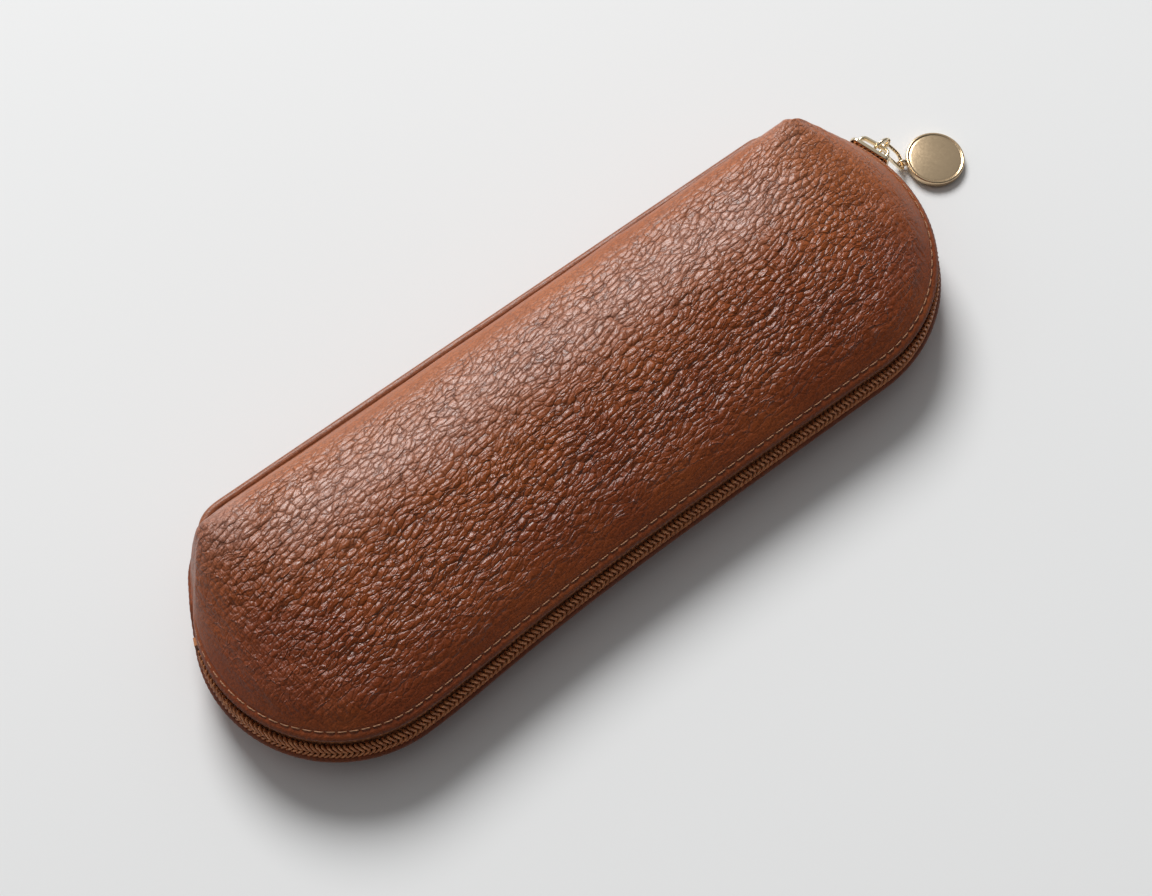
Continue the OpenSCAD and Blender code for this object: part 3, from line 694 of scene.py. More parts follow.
class HeightField:
    """The front panel's outer face as heights over a plan grid, eased where its sections meet."""
    STEP = 0.5
    MARGIN = 2.0
    BLUR = 4.5
    TRUST_FROM = 5.0              # heights nearer to the edge than this don't enter the blur
    EASE_FROM, EASE_OVER = 6.0, 9.0

    def __init__(self):
        st = closed_loop(0.8)
        q = section(st, 1, 0.0)
        rings = [on_section(q, s) for s in np.linspace(0, 1, 110)]
        rings += [crown_points(st, CREST_R, CROWN_H + CROWN_DOME),
                  crown_points(st, -0.3, CROWN_H + CROWN_DOME)]
        n = len(st["t"])
        verts = np.array(rings).reshape(-1, 3)
        tree = BVHTree.FromPolygons(verts.tolist(), ring_faces(n, len(rings)))
        self.x0, self.y0 = -CASE_L / 2 - self.MARGIN, MOUTH_Y - BELLY - self.MARGIN
        nx = int((CASE_L + 2 * self.MARGIN) / self.STEP) + 1
        ny = int((CASE_W + BELLY + 2 * self.MARGIN) / self.STEP) + 1
        z = np.full((nx, ny), np.nan)
        down = Vector((0, 0, -1))
        for i in range(nx):
            for j in range(ny):
                above = Vector((self.x0 + i * self.STEP, self.y0 + j * self.STEP, 2 * PEAK_H))
                hit = tree.ray_cast(above, down)
                if hit[0] is not None:
                    z[i, j] = hit[0].z
        inside = ~np.isnan(z)
        z = np.where(inside, z, SEAM_Z)
        gx, gy = np.meshgrid(self.x0 + np.arange(nx) * self.STEP,
                             self.y0 + np.arange(ny) * self.STEP, indexing="ij")
        edge = edge_points(closed_loop(2.0), 1)[:, :2]
        away = nearest(np.stack([gx.ravel(), gy.ravel()], 1), edge)[0].reshape(nx, ny)
        trust = (inside & (away > self.TRUST_FROM)).astype(float)
        eased = self.blur(z * trust) / np.maximum(self.blur(trust), 1e-6)
        self.delta = (eased - z) * rising(away, self.EASE_FROM, self.EASE_OVER) * inside
        self.z = z + self.delta

    def blur(self, grid):
        sigma = self.BLUR / self.STEP
        r = int(3 * sigma)
        k = np.exp(-0.5 * (np.arange(-r, r + 1) / sigma) ** 2)
        k /= k.sum()
        out = np.apply_along_axis(lambda v: np.convolve(v, k, "same"), 0, grid)
        return np.apply_along_axis(lambda v: np.convolve(v, k, "same"), 1, out)

    def at(self, grid, xy):
        u = (xy[:, 0] - self.x0) / self.STEP
        v = (xy[:, 1] - self.y0) / self.STEP
        i = np.clip(u.astype(int), 0, grid.shape[0] - 2)
        j = np.clip(v.astype(int), 0, grid.shape[1] - 2)
        fu, fv = u - i, v - j
        return ((1 - fu) * (1 - fv) * grid[i, j] + fu * (1 - fv) * grid[i + 1, j]
                + (1 - fu) * fv * grid[i, j + 1] + fu * fv * grid[i + 1, j + 1])


def trim_place(st, q, side, extra=0.0):
    """Place on each section where the leather is cut: short of the zip on the front half."""
    speed = 2 * q[3] * np.linalg.norm(q[1] - q[0], axis=1)
    length = (FRONT_TRIM if side > 0 else 0.0) + extra
    return length * (1 - off_zip(st)) / speed


def lip(st, rings):
    """The back leather turned up and out below the coil, as a soft lip along the zip."""
    run = np.linalg.norm(rings - rings[0], axis=2)
    share = ((1 - smooth(run / LIP_REACH)) * (1 - off_zip(st)))[..., None]
    right = np.where(st["zone"] == RIGHT_END, 1 - rising(st["t"], 0.5, 0.5), 0.0)
    out = with_z(st["n"] * (LIP_OUT + COIL_HIDDEN * right)[:, None], LIP_RISE)
    return rings + share * out


def leather_skin(name, side, step, field):
    """A leather panel: its outer face, a rolled edge and its inner face, as one closed mesh."""
    st = closed_loop(step)
    n = len(st["t"])
    q = section(st, side, 0.0)
    first = trim_place(st, q, side)
    outer = even_rings(q, (first, SKIN_SPLIT), max(8, int(SKIN_RUN / step)))
    qi = section(st, side, LEATHER_T)
    inner = np.array([on_section(qi, mix(first, SKIN_SPLIT, f))
                      for f in (0.0, 0.06, 0.2, 0.44, 0.72, 1.0)])
    if side < 0:
        outer, inner = lip(st, outer), lip(st, inner)
    else:
        for part in (outer, inner):
            ease = field.at(field.delta, part[..., :2].reshape(-1, 2))
            part[..., 2] += ease.reshape(part.shape[:2])
    roll = []
    for f in (0.2, 0.4, 0.6, 0.8):
        ring = mix(outer[0], inner[0], f)
        ring[:, 2] -= side * ROLL * math.sin(math.pi * f)
        roll.append(ring)
    rings = np.concatenate([inner[::-1], roll[::-1], outer])
    m = len(rings)
    verts = [rings.reshape(-1, 3)]
    faces = ring_faces(n, m, flip=side > 0)

    def cap(ring, row, spacing, depth, up):
        pts, tris = fill(ring[:, :2], spacing)
        start = sum(len(v) for v in verts)
        verts.append(with_z(pts, field.at(field.z, pts) - depth if side > 0 else depth))
        number = np.concatenate([row * n + np.arange(n), start + np.arange(len(pts))])
        tris = number[np.array(tris)]
        faces.extend((tris if up else tris[:, ::-1]).tolist())

    cap(outer[-1], m - 1, step, 0.0, side > 0)
    cap(inner[-1], 0, INNER_STEP, LEATHER_T, side < 0)
    obj = new_object(name, np.concatenate(verts), faces)
    dress_relief(obj, side, (len(inner) + len(roll)) * n)
    return obj


# how far the folds lift the leather (mm), with the size of their features and the noise's seed
LONG_FOLDS = ((1.0, 61, 0.16), (2.3, 62, 0.07))
DENTS = ((17.0, 63, 0.30), (7.0, 64, 0.10))
PEAK_FOLD = 0.14
EDGE_SWELL = 0.10
STITCH_SINK = 0.24
GRAIN_ENDS = 0.45             # share of the grain that is lost towards the case's two ends


def dress_relief(obj, side, plain):
    """Folds in the mesh, and where the pebbled grain and the wear lie, from place alone."""
    mesh = obj.data
    p = read_threes(mesh.vertices, "co").astype(float) / MM
    normal = read_threes(mesh.vertex_normals, "vector")
    st = closed_loop(1.5)
    q = section(st, side, 0.0)
    edge = on_section(q, trim_place(st, q, side))
    if side < 0:
        edge = lip(st, edge[None])[0]
    away, index = nearest(p, edge)
    base = off_zip(st)[index]
    past = away - STITCH_IN
    from_zip = 0.10 + 0.40 * rising(past, 0.5, 6.0) + 0.50 * rising(past, 6.0, 12.0)
    grain = mix(from_zip, rising(away, 9.0, 12.0), base)
    grain = grain * (1 - GRAIN_ENDS * rising(np.abs(p[:, 0]), 78.0, 22.0))
    # long folds along the case, soft dents across it, and pinched folds that leave the two peaks
    along = p * np.array([0.055, 0.30, 0.30])
    fold = sum(value_noise(along * fine, 1.0, seed) * lift for fine, seed, lift in LONG_FOLDS)
    dent = sum(value_noise(p, cell, seed) * lift for cell, seed, lift in DENTS)
    lift = (fold * 0.8 + dent) * rising(away, 2.5, 6.0)
    for peak, spin in ((RIGHT_PEAK, 1.0), (LEFT_PEAK, -1.0)):
        d = p[:, :2] - peak[:2]
        r = np.hypot(d[:, 0], d[:, 1])
        turn = np.arctan2(d[:, 1], d[:, 0])
        ray = np.sin(turn * 9 + spin * 0.6 * np.log1p(r)) * np.exp(-r / 11.0) * smooth(r / 5.0)
        lift += PEAK_FOLD * ray * rising(away, 2.0, 4.0) * (side > 0)
    # the row of stitches pulls the leather in, and the edge outside it swells
    sewn = np.exp(-((away - STITCH_IN) / 0.42) ** 2)
    swell = np.exp(-((away - 0.9) / 0.55) ** 2)
    lift += (EDGE_SWELL * swell - STITCH_SINK * sewn) * (1 - base)
    show = np.ones(len(p))
    show[:plain] = 0.0
    if side < 0:
        show *= smooth(p[:, 2] / 1.5)
    p = p + normal * (lift * show)[:, None]
    if side < 0:
        p[:, 2] = np.maximum(p[:, 2], 0.0)
    mesh.vertices.foreach_set("co", (p * MM).astype(np.float32).ravel())
    mesh.update()
    strip = base * (1 - rising(away, 6.0, 9.0))
    # painted light and shade: lighter towards the base seam, where the key light falls, a little
    # less on the strip by the seam, and darker towards the mouth and the left end; the relief is
    # also flatter where this is high
    painted_light = rising(p[:, 1], -25.0, 52.0) * (1 - 0.3 * strip) - 0.5 * rising(-p[:, 0], 66.0, 26.0)
    # painted highlight: a band along the crest, and spots just inside the two peaks
    crest_highlight = np.exp(-((p[:, 1] - 15.0) / 9.0) ** 2) * (1 - rising(np.abs(p[:, 0]), 62.0, 28.0))
    for peak, part in ((LEFT_PEAK + [7.0, -3.0, 0.0], 0.9), (RIGHT_PEAK + [-6.0, -4.0, 0.0], 0.55)):
        crest_highlight = np.maximum(crest_highlight, part * np.exp(-((p[:, :2] - peak[:2]) ** 2).sum(1) / 60.0))
    pleat = rising(np.abs(p[:, 0]), 72.0, 18.0) * rising(away, 3.0, 5.0)
    rim = 1 - rising(away, 0.2, 0.9)
    veined = rising(away, 4.5, 5.0) * (1 - base)
    front = show * (side > 0)
    layers = (np.clip(grain, 0, 1) * show, np.clip(painted_light, 0, 1) * show, rim,
              crest_highlight * front, pleat * front, veined * front)
    for key, values in zip(LEATHER_LAYERS, layers):
        set_attribute(obj, key, values)


def lining_skin(name, side):
    st = closed_loop(2.0)
    d = LEATHER_T + TAPE_T + 2.5 * SKIN_GAP
    places = np.linspace(TAPE_SEWN[0], 1.0, 30)
    outer = np.array([on_section(section(st, side, d), s) for s in places])
    inner = np.array([on_section(section(st, side, d + LINING_T), s) for s in places])
    ripple = value_noise(inner.reshape(-1, 3), 16.0, 51).reshape(inner.shape[:2])
    inner[..., 2] -= side * 0.25 * np.abs(ripple)
    return new_object(name, *loft(np.concatenate([inner[::-1], outer]), side < 0))


def tape_strip(name, side):
    """Half of the zip's tape, run on past both ends of the zip until the leather edges meet."""
    past = np.linspace(0.01, TAPE_PAST, 16)
    st = join([right_corner(1 - past[::-1]), zip_stations(np.linspace(0.0, ZIP_LEN - 0.01, 340)),
               left_corner(past)])
    d = LEATHER_T + SKIN_GAP
    low = ZIP_Z + side * mix(ROW_GAP / 2, TAPE_TUCK, smooth(off_zip(st) / 0.06))

    outer = section(st, side, d)
    inner = section(st, side, d + TAPE_T)
    sewn = [on_section(outer, s) for s in TAPE_SEWN]
    back = [on_section(inner, s) for s in TAPE_SEWN[::-1]]
    top = side * np.minimum(side * sewn[0][:, 2], side * (ZIP_Z + side * (ZIP_WINDOW / 2 + 0.4)))
    near, far = moved_in(st, TAPE_IN), moved_in(st, TAPE_IN + TAPE_T)
    ring = [with_z(near, low), with_z(near, mix(low, top, 0.5)), with_z(near, top - side * 0.6),
            *sewn, *back,
            with_z(far, top - side * 0.5), with_z(far, mix(low, top, 0.5)), with_z(far, low)]
    return new_object(name, *loft(np.array(ring).transpose(1, 0, 2), side < 0))


def tube_parts(path, radius, sides=6, closed=False):
    """Points and faces of a round wire; radius is a number or one number for each point."""
    path = np.asarray(path, float)
    if closed:
        tangent = unit(np.roll(path, -1, 0) - np.roll(path, 1, 0))
    else:
        tangent = unit(np.gradient(path, axis=0))
    start = np.cross(tangent[0], [0.0, 0.0, 1.0])
    if np.linalg.norm(start) < 0.2:
        start = np.cross(tangent[0], [1.0, 0.0, 0.0])
    # carry the frame along, so that the tube doesn't twist
    u = unit(start)
    us = []
    for t in tangent:
        u = u - t * np.dot(u, t)
        u = u / np.linalg.norm(u)
        us.append(u)
    us = np.array(us)
    rings = hoops(path, radius, sides, us, np.cross(tangent, us))
    if not closed:
        return loft(rings)
    n, m = sides, len(path)
    # the frame comes back turned, so the last ring joins the nearest points of the first
    turn = int(np.argmin(np.linalg.norm(rings[0] - rings[-1][0], axis=1)))
    i, last = np.arange(n), (m - 1) * n
    seam = np.stack([last + i, last + (i + 1) % n, (i + 1 + turn) % n, (i + turn) % n], 1)
    return rings.reshape(-1, 3), ring_faces(n, m) + seam.tolist()


def bar_parts(near, far, half):
    """A bar of four-sided rings: from near to far, and half of its thickness each way."""
    return loft(np.stack([near - half, far - half, far + half, near + half], 1))


def joined(parts):
    """Several (points, faces) parts as one."""
    verts, faces, start = [], [], 0
    for points, quads in parts:
        verts.append(points)
        faces += [[start + i for i in face] for face in quads]
        start += len(points)
    return np.concatenate(verts), faces


COIL_WIRE = 0.34
COIL_STEPS = 16
COIL_SLANT = 0.95
COIL_OUT = 0.30               # the coil's face lies this far inside the zip's line
COIL_MEET = 0.30              # gap between the two rows
COIL_OVER = 0.35              # the dressed row ends this much higher than the solid one
COIL_SQUARE = (1.3, 1.2)      # above 1, a turn is square rather than round: across, and in height
COIL_PHASE = 0.55
COIL_LEAN = 0.12              # how the face leans back above COIL_LEAN_FROM
COIL_LEAN_FROM = 1.2


def coil_row(name, side):
    """One row of the coil: slanted turns along the tape, with their heads at the middle."""
    count = math.floor((ZIP_LEN - 2 * COIL_START) / COIL_PITCH) - 1
    k = np.arange(count * COIL_STEPS + 1) / COIL_STEPS
    a = 2 * np.pi * k
    across = np.clip(COIL_SQUARE[0] * np.sin(a), -1, 1)
    rise = np.clip(COIL_SQUARE[1] * np.cos(a), -1, 1)
    s = COIL_START + (k + COIL_PHASE) * COIL_PITCH + 0.5 * COIL_SLANT * rise
    st = zip_stations(s)
    far = COIL_D - COIL_WIRE - 0.02
    right = 1 - rising(s, 0.5 * RIGHT_LEN, 0.5 * RIGHT_LEN)
    near = COIL_OUT + COIL_WIRE + COIL_HIDDEN * right
    depth = mix(near, far, 0.5 + 0.5 * across)
    low, high = COIL_MEET / 2 + COIL_WIRE, ROW_GAP / 2 + COIL_H + COIL_OVER - COIL_WIRE
    height = mix(low, high, 0.5 + 0.5 * rise)
    # the face of each row leans back towards the leather
    lean = COIL_LEAN * np.clip(height - COIL_LEAN_FROM, 0, None) ** 1.3
    depth = np.maximum(depth, near + lean)
    path = with_z(moved_in(st, depth), ZIP_Z + side * height)
    return new_object(name, *tube_parts(path, COIL_WIRE))


def stitch_row(name, side):
    """A row of stitches: each thread dips into the leather at both ends."""
    count = math.floor((ZIP_LEN - STITCH_PITCH) / STITCH_PITCH)
    parts = []
    f = np.linspace(0, 1, 9)
    dip = STITCH_DIP[0] + STITCH_DIP[1] * (np.abs(2 * f - 1) ** 6)
    radius = THREAD_R * (1 - THREAD_TAPER * np.abs(2 * f - 1) ** 3)
    for i in range(count):
        st = zip_stations(i * STITCH_PITCH + 1 + STITCH_L * f)
        q = section(st, side, 0.0)
        p = on_section(q, trim_place(st, q, side, STITCH_IN))
        if side < 0:
            p = p + lip(st, np.array([q[0], p]))[1] - p
        e, k = q[0], q[1]
        lean = unit(np.stack([np.linalg.norm(k[:, :2] - e[:, :2], axis=1),
                              np.abs(k[:, 2] - e[:, 2])], 1))
        up = np.concatenate([st["n"] * lean[:, 1:], side * lean[:, :1]], 1)
        p = p + up * (THREAD_UP - dip)[:, None]
        tangent = unit(np.gradient(p, axis=0))
        across = unit(np.cross(tangent, up))
        parts.append(loft(hoops(p, radius, 8, across, THREAD_FLAT * up)))
    return new_object(name, *joined(parts))


# ---------------------------------------------------------------- welt
WELT_R = 1.2
WELT_OUT = 0.25
WELT_END_R = 0.5              # radius of the welt at its two ends
WELT_END_IN = 2.6             # how far inside the outline its two ends lie
WELT_TAIL = 2.4
WELT_TAIL_T = 0.5
TAIL_FROM = 0.35              # share of the full welt from which it has a tail
LIP_T = 0.35
LIP_CLEAR = 0.12


def plain_leather(obj):
    count = len(obj.data.vertices)
    # the same middle level of painted light all over, and no grain, painted highlight, pleats or
    # veins
    for key in LEATHER_LAYERS:
        set_attribute(obj, key, np.full(count, 0.45 if key == "painted_light" else 0.0))
    return obj


def welt_roll(name):
    """The rolled welt: full along the base seam, and drawn in between the panels at its ends."""
    ends = np.linspace(0.66, 1.0, 30)[:-1]
    st = join([left_corner(ends), base_line(np.linspace(0, 1, 260)), right_corner(1 - ends[::-1])])
    part = rising(off_zip(st), 0.70, 0.30)
    r = mix(WELT_END_R, WELT_R, part)
    inset = mix(WELT_END_IN, -WELT_OUT, part)
    z = mix(ZIP_Z + 0.1, SEAM_Z, off_zip(st))
    path = with_z(moved_in(st, inset), z)
    roll = tube_parts(path, r, 20)
    # its flat tail lies between the panels, and runs out where they close up
    full = part > TAIL_FROM
    centre, inward = path[full], -with_z(st["n"][full], 0.0)
    depth = mix(0.8, WELT_R + WELT_TAIL, (part[full, None] - TAIL_FROM) / (1 - TAIL_FROM))
    tail = bar_parts(centre + inward * 0.4, centre + inward * depth,
                     np.array([0, 0, WELT_TAIL_T / 2]))
    return plain_leather(new_object(name, *joined([roll, tail])))


def base_lip(name):
    """The front's turned-in edge, which stays close to the welt as the front opens round it."""
    st = base_line(np.linspace(0, 1, 60))
    edge = edge_points(st, 1)
    centre = with_z(moved_in(st, -WELT_OUT), SEAM_Z)
    out = unit(edge - centre)
    half = np.column_stack([np.zeros(len(edge)), out[:, 2], -out[:, 1]]) * LIP_T / 2
    parts = bar_parts(centre + out * (WELT_R + LIP_CLEAR), edge + out * LIP_T, half)
    return plain_leather(new_object(name, *parts))


# ---------------------------------------------------------------- slider and pull
SLIDER_AT = 9.4
SLIDER_TURN = REACH[0] - math.degrees(SLIDER_AT / END_R[0])
SLIDER_L = 11.0
SLIDER_W = 8.0
BLADE_T = 1.2
BLADE_GAP = 0.6
BRIDGE_RISE = 3.5
BRIDGE_W = 1.8
BRIDGE_HALF = 4.4
BRIDGE_FILLET = 1.8
BAR_T = 0.9
FLANGE_T = 0.65
PULL_AT = -1.0
PULL_YAW = -28.0
RING_YAW = SLIDER_TURN - 20
WIRE_EXTRA = 0.03             # what the ring's and the link's wires gain on their solids
RING_WIRE = 0.4
RING_R = 2.45
RING_HANG = 0.8
RING_PITCH = -45.0
LINK_WIRE = 0.45
LINK_CLEAR = 0.35
LINK_L = 11.0
LINK_W = 4.8
DISK_R = 7.5
DISK_T = 2.2
DISK_DOME = 0.32
DISK_RIM = 0.42
FACE_IN = 0.95                # the disk's domed face ends this far inside its edge
DISK_TILT = 3.0
EYE_R = 1.15
EYE_WIRE = 0.4
EYE_OUT = 1.1
OUTER_BLADE = END_R[0] + BLADE_GAP
TAPE_BACK = END_R[0] - COIL_D - SKIN_GAP - TAPE_T
INNER_BLADE = math.sqrt(TAPE_BACK ** 2 - (SLIDER_L / 2) ** 2) - 0.3


def heading(yaw, pitch):
    y, p = math.radians(yaw), math.radians(pitch)
    return np.array([math.cos(p) * math.cos(y), math.cos(p) * math.sin(y), math.sin(p)])


def frame_along(yaw, pitch):
    """Columns: local X along the direction, local Y level, local Z."""
    x = heading(yaw, pitch)
    y = np.array([-math.sin(math.radians(yaw)), math.cos(math.radians(yaw)), 0.0])
    return np.stack([x, y, np.cross(x, y)], 1)


SLIDER_FRAME = frame_along(SLIDER_TURN, 0.0)
SLIDER_ORIGIN = np.array([RIGHT_C[0], RIGHT_C[1], ZIP_Z])
BAR_X = OUTER_BLADE + BLADE_T + BRIDGE_RISE - BAR_T / 2
BAR_P = SLIDER_ORIGIN + SLIDER_FRAME @ np.array([BAR_X, PULL_AT, 0.0])
RING_P = BAR_P + RING_HANG * heading(RING_YAW, RING_PITCH)
LINK_TOP = RING_P + (RING_R - RING_WIRE - LINK_WIRE - LINK_CLEAR) * heading(
    (RING_YAW + PULL_YAW) / 2, RING_PITCH - 5)
EYE_Z = 0.1 + DISK_T / 2 + (2 * DISK_R + EYE_OUT) * math.sin(math.radians(DISK_TILT))
LINK_PITCH = -math.degrees(math.asin((LINK_TOP[2] - EYE_Z) / LINK_L))
LINK_END = LINK_TOP + LINK_L * heading(PULL_YAW, LINK_PITCH)


def put(parts, origin, axes):
    points, faces = parts
    return np.asarray(points) @ axes.T + origin, faces


def slab(outline, low, high, bevel):
    """A plate with rounded edges: a convex outline (local Y, Z) between two levels of local X."""
    outline = np.asarray(outline, float)
    nxt, prv = np.roll(outline, -1, 0), np.roll(outline, 1, 0)
    out = unit(np.stack([(nxt - prv)[:, 1], -(nxt - prv)[:, 0]], 1))
    if (out * (outline - outline.mean(0))).sum() < 0:
        out = -out
    rings = []
    for a in np.linspace(0, np.pi / 2, 5):
        rings.append((low + bevel * (1 - math.sin(a)), bevel * (1 - math.cos(a))))
    rings = rings[::-1] + [(high - (x - low), d) for x, d in rings]
    pts = np.array([np.concatenate([np.full((len(outline), 1), x), outline - out * d], 1)
                    for x, d in rings])
    return loft(pts)


def round_corners(corners, steps=8):
    """Outline through circles (y, z, radius), in order, as the hull of the circles."""
    corners = np.asarray(corners, float)
    middle = corners[:, :2].mean(0)
    out = []
    for y, z, r in corners:
        base = math.atan2(z - middle[1], y - middle[0])
        base = round((base - math.pi / 4) / (math.pi / 2)) * math.pi / 2 + math.pi / 4
        for a in np.linspace(base - math.pi / 4, base + math.pi / 4, steps):
            out.append([y + r * math.cos(a), z + r * math.sin(a)])
    return np.array(out)


def slider_shell(name):
    half, w = SLIDER_L / 2, SLIDER_W / 2
    shield = round_corners([(half - 2, w - 2, 2), (1.2 - half, w - 2, 1.2),
                            (1.2 - half, 2 - w, 1.2), (half - 2, 2 - w, 2)])
    box = lambda y0, y1, z0, z1: np.array([[y0, z0], [y1, z0], [y1, z1], [y0, z1]])
    post = (ROW_GAP - 0.3) / 2
    parts = [slab(shield, OUTER_BLADE, OUTER_BLADE + BLADE_T, 0.45),
             slab(shield, INNER_BLADE - BLADE_T, INNER_BLADE, 0.3),
             slab(box(half - 5, half - 2, -post, post), INNER_BLADE - 0.2, OUTER_BLADE + 0.2, 0.05),
             slab(box(1.5 - half, half - 2.5, -w + 0.02, -w + FLANGE_T),
                  END_R[0] - TAPE_IN + 0.4, OUTER_BLADE + 0.3, 0.12)]
    return new_object(name, *put(joined(parts), SLIDER_ORIGIN, SLIDER_FRAME))


def slider_crown(name):
    """The arch that the pull hangs on: a strap with rounded edges, swept over the blade."""
    top = BRIDGE_RISE - BAR_T / 2
    y = BRIDGE_HALF - BAR_T / 2
    r = BRIDGE_FILLET - BAR_T / 2
    turn = np.linspace(0, np.pi / 2, 10)
    right = np.stack([top - r + r * np.sin(turn), y - r + r * np.cos(turn)], 1)
    line = np.concatenate([[[-0.5, y]], right, right[::-1] * [1, -1], [[-0.5, -y]]])
    dense = np.concatenate([mix(line[i], line[i + 1], np.linspace(0, 1, 5)[:-1, None])
                            for i in range(len(line) - 1)] + [line[-1:]])
    tangent = unit(np.gradient(dense, axis=0))
    out = np.stack([-tangent[:, 1], tangent[:, 0]], 1)
    a = circle(20)
    # a flattened oval: broad across, thin through, with rounded edges
    thick = np.sign(np.sin(a)) * np.abs(np.sin(a)) ** 0.75 * BAR_T / 2
    broad = np.sign(np.cos(a)) * np.abs(np.cos(a)) ** 0.75 * BRIDGE_W / 2
    rings = np.stack([
        OUTER_BLADE + BLADE_T + dense[:, None, 0] + out[:, None, 0] * thick[None],
        dense[:, None, 1] + out[:, None, 1] * thick[None],
        np.broadcast_to(broad, (len(dense), len(a)))], 2)
    return new_object(name, *put(loft(rings), SLIDER_ORIGIN, SLIDER_FRAME))


def circle_path(radius, steps=64):
    a = circle(steps)
    return np.stack([radius * np.cos(a), np.zeros(steps), radius * np.sin(a)], 1)


def jump_ring(name):
    parts = tube_parts(circle_path(RING_R), RING_WIRE + WIRE_EXTRA, 14, closed=True)
    return new_object(name, *put(parts, RING_P, frame_along(RING_YAW, RING_PITCH)))


def link_wire(name):
    """The long link: two straight sides and two half circles, in its local XY plane."""
    r = LINK_W / 2
    turn = np.linspace(0, np.pi, 20)
    far = np.stack([LINK_L - r + r * np.sin(turn), r * np.cos(turn)], 1)
    near = np.stack([r - r * np.sin(turn), -r * np.cos(turn)], 1)
    flat = np.concatenate([far, near])
    parts = tube_parts(with_z(flat, 0.0), LINK_WIRE + WIRE_EXTRA, 14, closed=True)
    return new_object(name, *put(parts, LINK_TOP, frame_along(PULL_YAW, LINK_PITCH)))


def disk_body(name):
    """The round pull: a domed face inside a rolled rim on both sides, and the eye of the link."""
    half = DISK_T / 2
    r_face = DISK_R - FACE_IN
    face = [(r, half - DISK_DOME * (r / r_face) ** 2) for r in np.linspace(0.15, r_face, 14)]
    groove = [(r_face + 0.10, half - DISK_DOME - 0.03), (r_face + 0.20, half - DISK_DOME + 0.03)]
    turn = np.linspace(0.75 * np.pi, 0.0, 9)
    rim = [(DISK_R - DISK_RIM + DISK_RIM * math.cos(a),
            half - DISK_DOME - 0.22 + DISK_RIM * math.sin(a)) for a in turn]
    top = np.array(face + groove + rim)
    line = np.concatenate([top, top[::-1] * [1, -1]])
    a = circle(128)
    rings = np.stack([line[:, None, 0] * np.cos(a) + EYE_OUT + DISK_R,
                      line[:, None, 0] * np.sin(a),
                      np.broadcast_to(line[:, None, 1], (len(line), len(a)))], 2)
    eye = tube_parts(circle_path(EYE_R, 40), EYE_WIRE, 12, closed=True)
    axes = frame_along(PULL_YAW, -DISK_TILT)
    return new_object(name, *put(joined([loft(rings), eye]), LINK_END, axes))


def dress_metal(mats):
    place(welt_roll("welt_roll"), "back", ["base_welt"], mats["edge"])
    place(base_lip("front_base_lip"), "front", [], mats["edge"])
    place(slider_shell("slider_plates"), "slider", ["slider_body"], mats["gold"])
    place(slider_crown("slider_crown"), "slider", ["slider_bridge"], mats["gold"])
    place(jump_ring("jump_ring_wire"), "ring", ["jump_ring"], mats["gold"])
    place(link_wire("pull_link_wire"), "link", ["pull_link"], mats["gold"])
    place(disk_body("pull_disk_body"), "disk", ["pull_disk"], mats["satin"])


# ---------------------------------------------------------------- dressing the frame
def wear(obj, material):
    obj.data.materials.clear()
    obj.data.materials.append(material)


def place(obj, body, nodes, material):
    wear(obj, material)
    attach(obj, body)
    if nodes:
        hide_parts(*nodes)


def dress_half(body, side, mats, field):
    skin = leather_skin(body + "_skin", side, SKIN_STEP[side > 0], field)
    place(skin, body, [body + "_panel"], mats["leather"])
    for make, piece, node, slot, look in (
            (lining_skin, "_lining_cloth", "_lining", "lining", "lining"),
            (tape_strip, "_zip_tape", "_tape", "zip_tape", "tape"),
            (coil_row, "_zip_coil", "_coil", "zip_coil", "coil"),
            (stitch_row, "_stitches", "_stitching", "thread", "thread")):
        place(make(body + piece, side), body, [body + node], mats[look])


def dress_nodes(mats):
    for node in ("front_top_stop", "back_top_stop", "bottom_stop"):
        wear(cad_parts[node], mats["lacquer"])
    wear(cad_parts["welt_cord"], mats["lining"])


# ---------------------------------------------------------------- table, light and camera
TABLE_HALF = 3000.0


def make_stage():
    s = Shader("table_paper")
    stops = [(0.3, (0.765, 0.770, 0.770)), (0.7, (0.795, 0.800, 0.800))]
    s.set(Base_Color=s.ramp(s.noise(2.0, 2.0), stops), Roughness=0.9, Specular_IOR_Level=0.1)
    corners = TABLE_HALF * np.array([[-1, -1, 0], [1, -1, 0], [1, 1, 0], [-1, 1, 0]])
    floor = new_object("table", corners, [[0, 1, 2, 3]])
    wear(floor, s.mat)


IMAGE_W, IMAGE_H = 1152, 896
CAM_ELEVATION = 65.0
CAM_AZIMUTH = -37.6
CAM_DISTANCE = 668.0
CAM_SCALE = 4.23
TARGET_MM = (-2.4, -1.25, 14.0)
TARGET_PX = (570.0, 440.0)


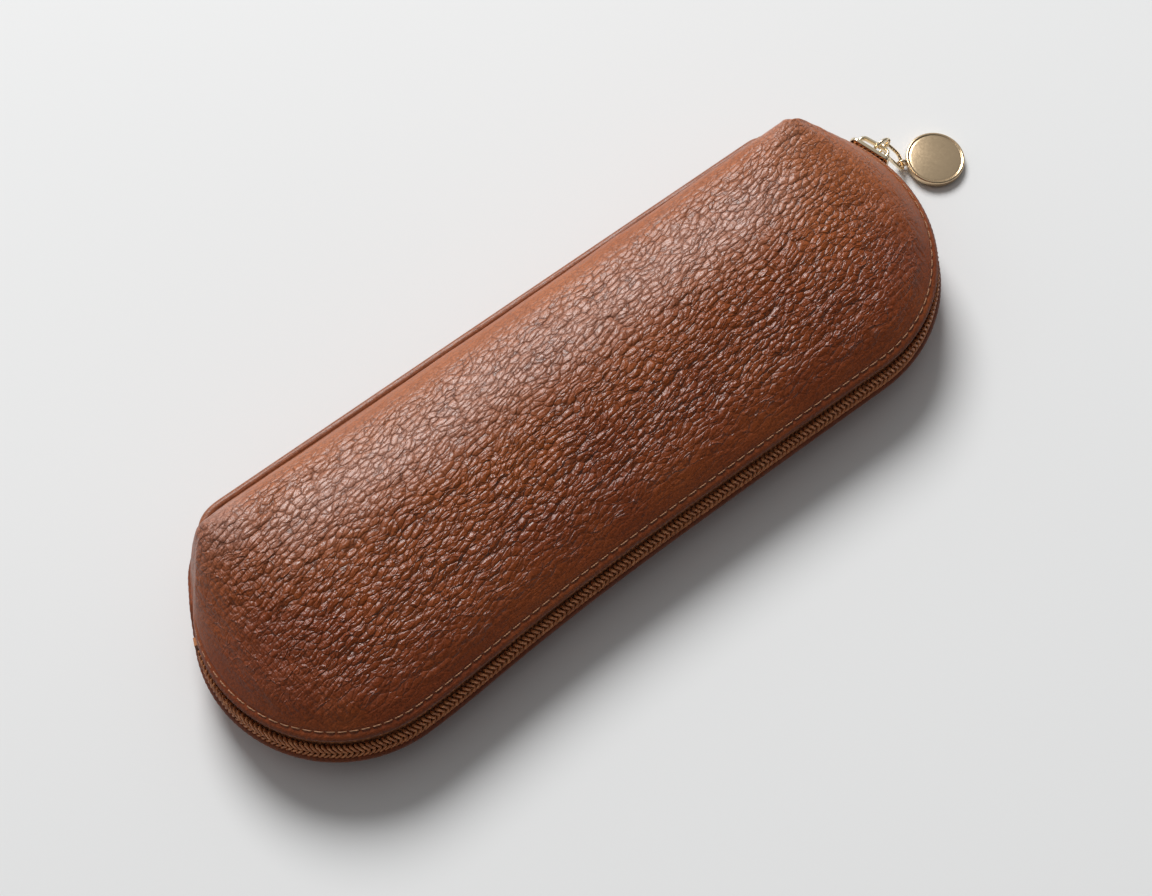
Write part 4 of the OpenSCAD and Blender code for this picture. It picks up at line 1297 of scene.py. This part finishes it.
def make_camera():
    """A long lens; the target point lands on the target pixel of the 1152 x 896 frame."""
    e, f = math.radians(CAM_ELEVATION), math.radians(CAM_AZIMUTH)
    back = Vector((math.cos(e) * math.sin(f), -math.cos(e) * math.cos(f), math.sin(e)))
    right = Vector((math.cos(f), math.sin(f), 0))
    up = back.cross(right)
    focal_px = CAM_SCALE * CAM_DISTANCE
    dx = (TARGET_PX[0] - IMAGE_W / 2) / focal_px
    dy = (TARGET_PX[1] - IMAGE_H / 2) / focal_px
    ray = -back + right * dx - up * dy
    eye = (Vector(TARGET_MM) - ray * CAM_DISTANCE) * MM
    data = bpy.data.cameras.new("camera")
    data.sensor_fit = "HORIZONTAL"
    data.sensor_width = 36.0
    data.lens = focal_px / IMAGE_W * 36.0
    data.clip_start = 0.01
    cam = bpy.data.objects.new("camera", data)
    bpy.context.scene.collection.objects.link(cam)
    turn = Matrix((right, up, back)).transposed()
    cam.matrix_world = Matrix.Translation(eye) @ turn.to_4x4()
    bpy.context.scene.camera = cam


KEY_ELEVATION = 46.0
KEY_AZIMUTH = 18.0
KEY_DISTANCE = 2.1
KEY_SIZE = 1.08
KEY_POWER = 46.5
KEY_TARGET = Vector((0, 0, 0.01))
FILL_DARK, FILL_BRIGHT = 0.07, 0.41
FILL_WAY = (0.0, 0.80, 0.60)
FILL_SPAN = (-0.45, 1.0)
SEEN_LEVEL = 0.80


def make_light():
    """One soft key from behind the base seam, and a dim surround that fades towards the mouth."""
    scene = bpy.context.scene
    scene.view_settings.view_transform = "Standard"
    world = bpy.data.worlds.new("studio")
    scene.world = world
    world.use_nodes = True
    t = Nodes(world.node_tree)
    along = t.node("VectorMath", {0: t.node("TexCoord", {}).outputs["Generated"], 1: FILL_WAY},
                   operation="DOT_PRODUCT")
    level = t.node("MapRange", {
        "Value": along.outputs["Value"], "From Min": FILL_SPAN[0], "From Max": FILL_SPAN[1],
        "To Min": FILL_DARK, "To Max": FILL_BRIGHT}, interpolation_type="SMOOTHSTEP")
    path = t.node("LightPath", {})
    seen = t.node("Mix", {"Factor": path.outputs["Is Camera Ray"], "A": level.outputs["Result"],
                          "B": SEEN_LEVEL})
    background = t.tree.nodes["Background"]
    t.feed(background.inputs["Strength"], seen.outputs["Result"])
    t.feed(background.inputs["Color"], (1.0, 1.0, 1.0, 1.0))
    e, a = math.radians(KEY_ELEVATION), math.radians(KEY_AZIMUTH)
    way = Vector((math.cos(e) * math.sin(a), math.cos(e) * math.cos(a), math.sin(e)))
    data = bpy.data.lights.new("key", "AREA")
    data.shape = "DISK"
    data.size = KEY_SIZE
    data.energy = KEY_POWER
    key = bpy.data.objects.new("key", data)
    scene.collection.objects.link(key)
    key.location = way * KEY_DISTANCE
    key.rotation_euler = (KEY_TARGET - key.location).to_track_quat("-Z", "Y").to_euler()


make_camera()
materials = make_materials()
heights = HeightField()
dress_half("front", 1, materials, heights)
dress_half("back", -1, materials, heights)
dress_metal(materials)
dress_nodes(materials)
make_stage()
make_light()
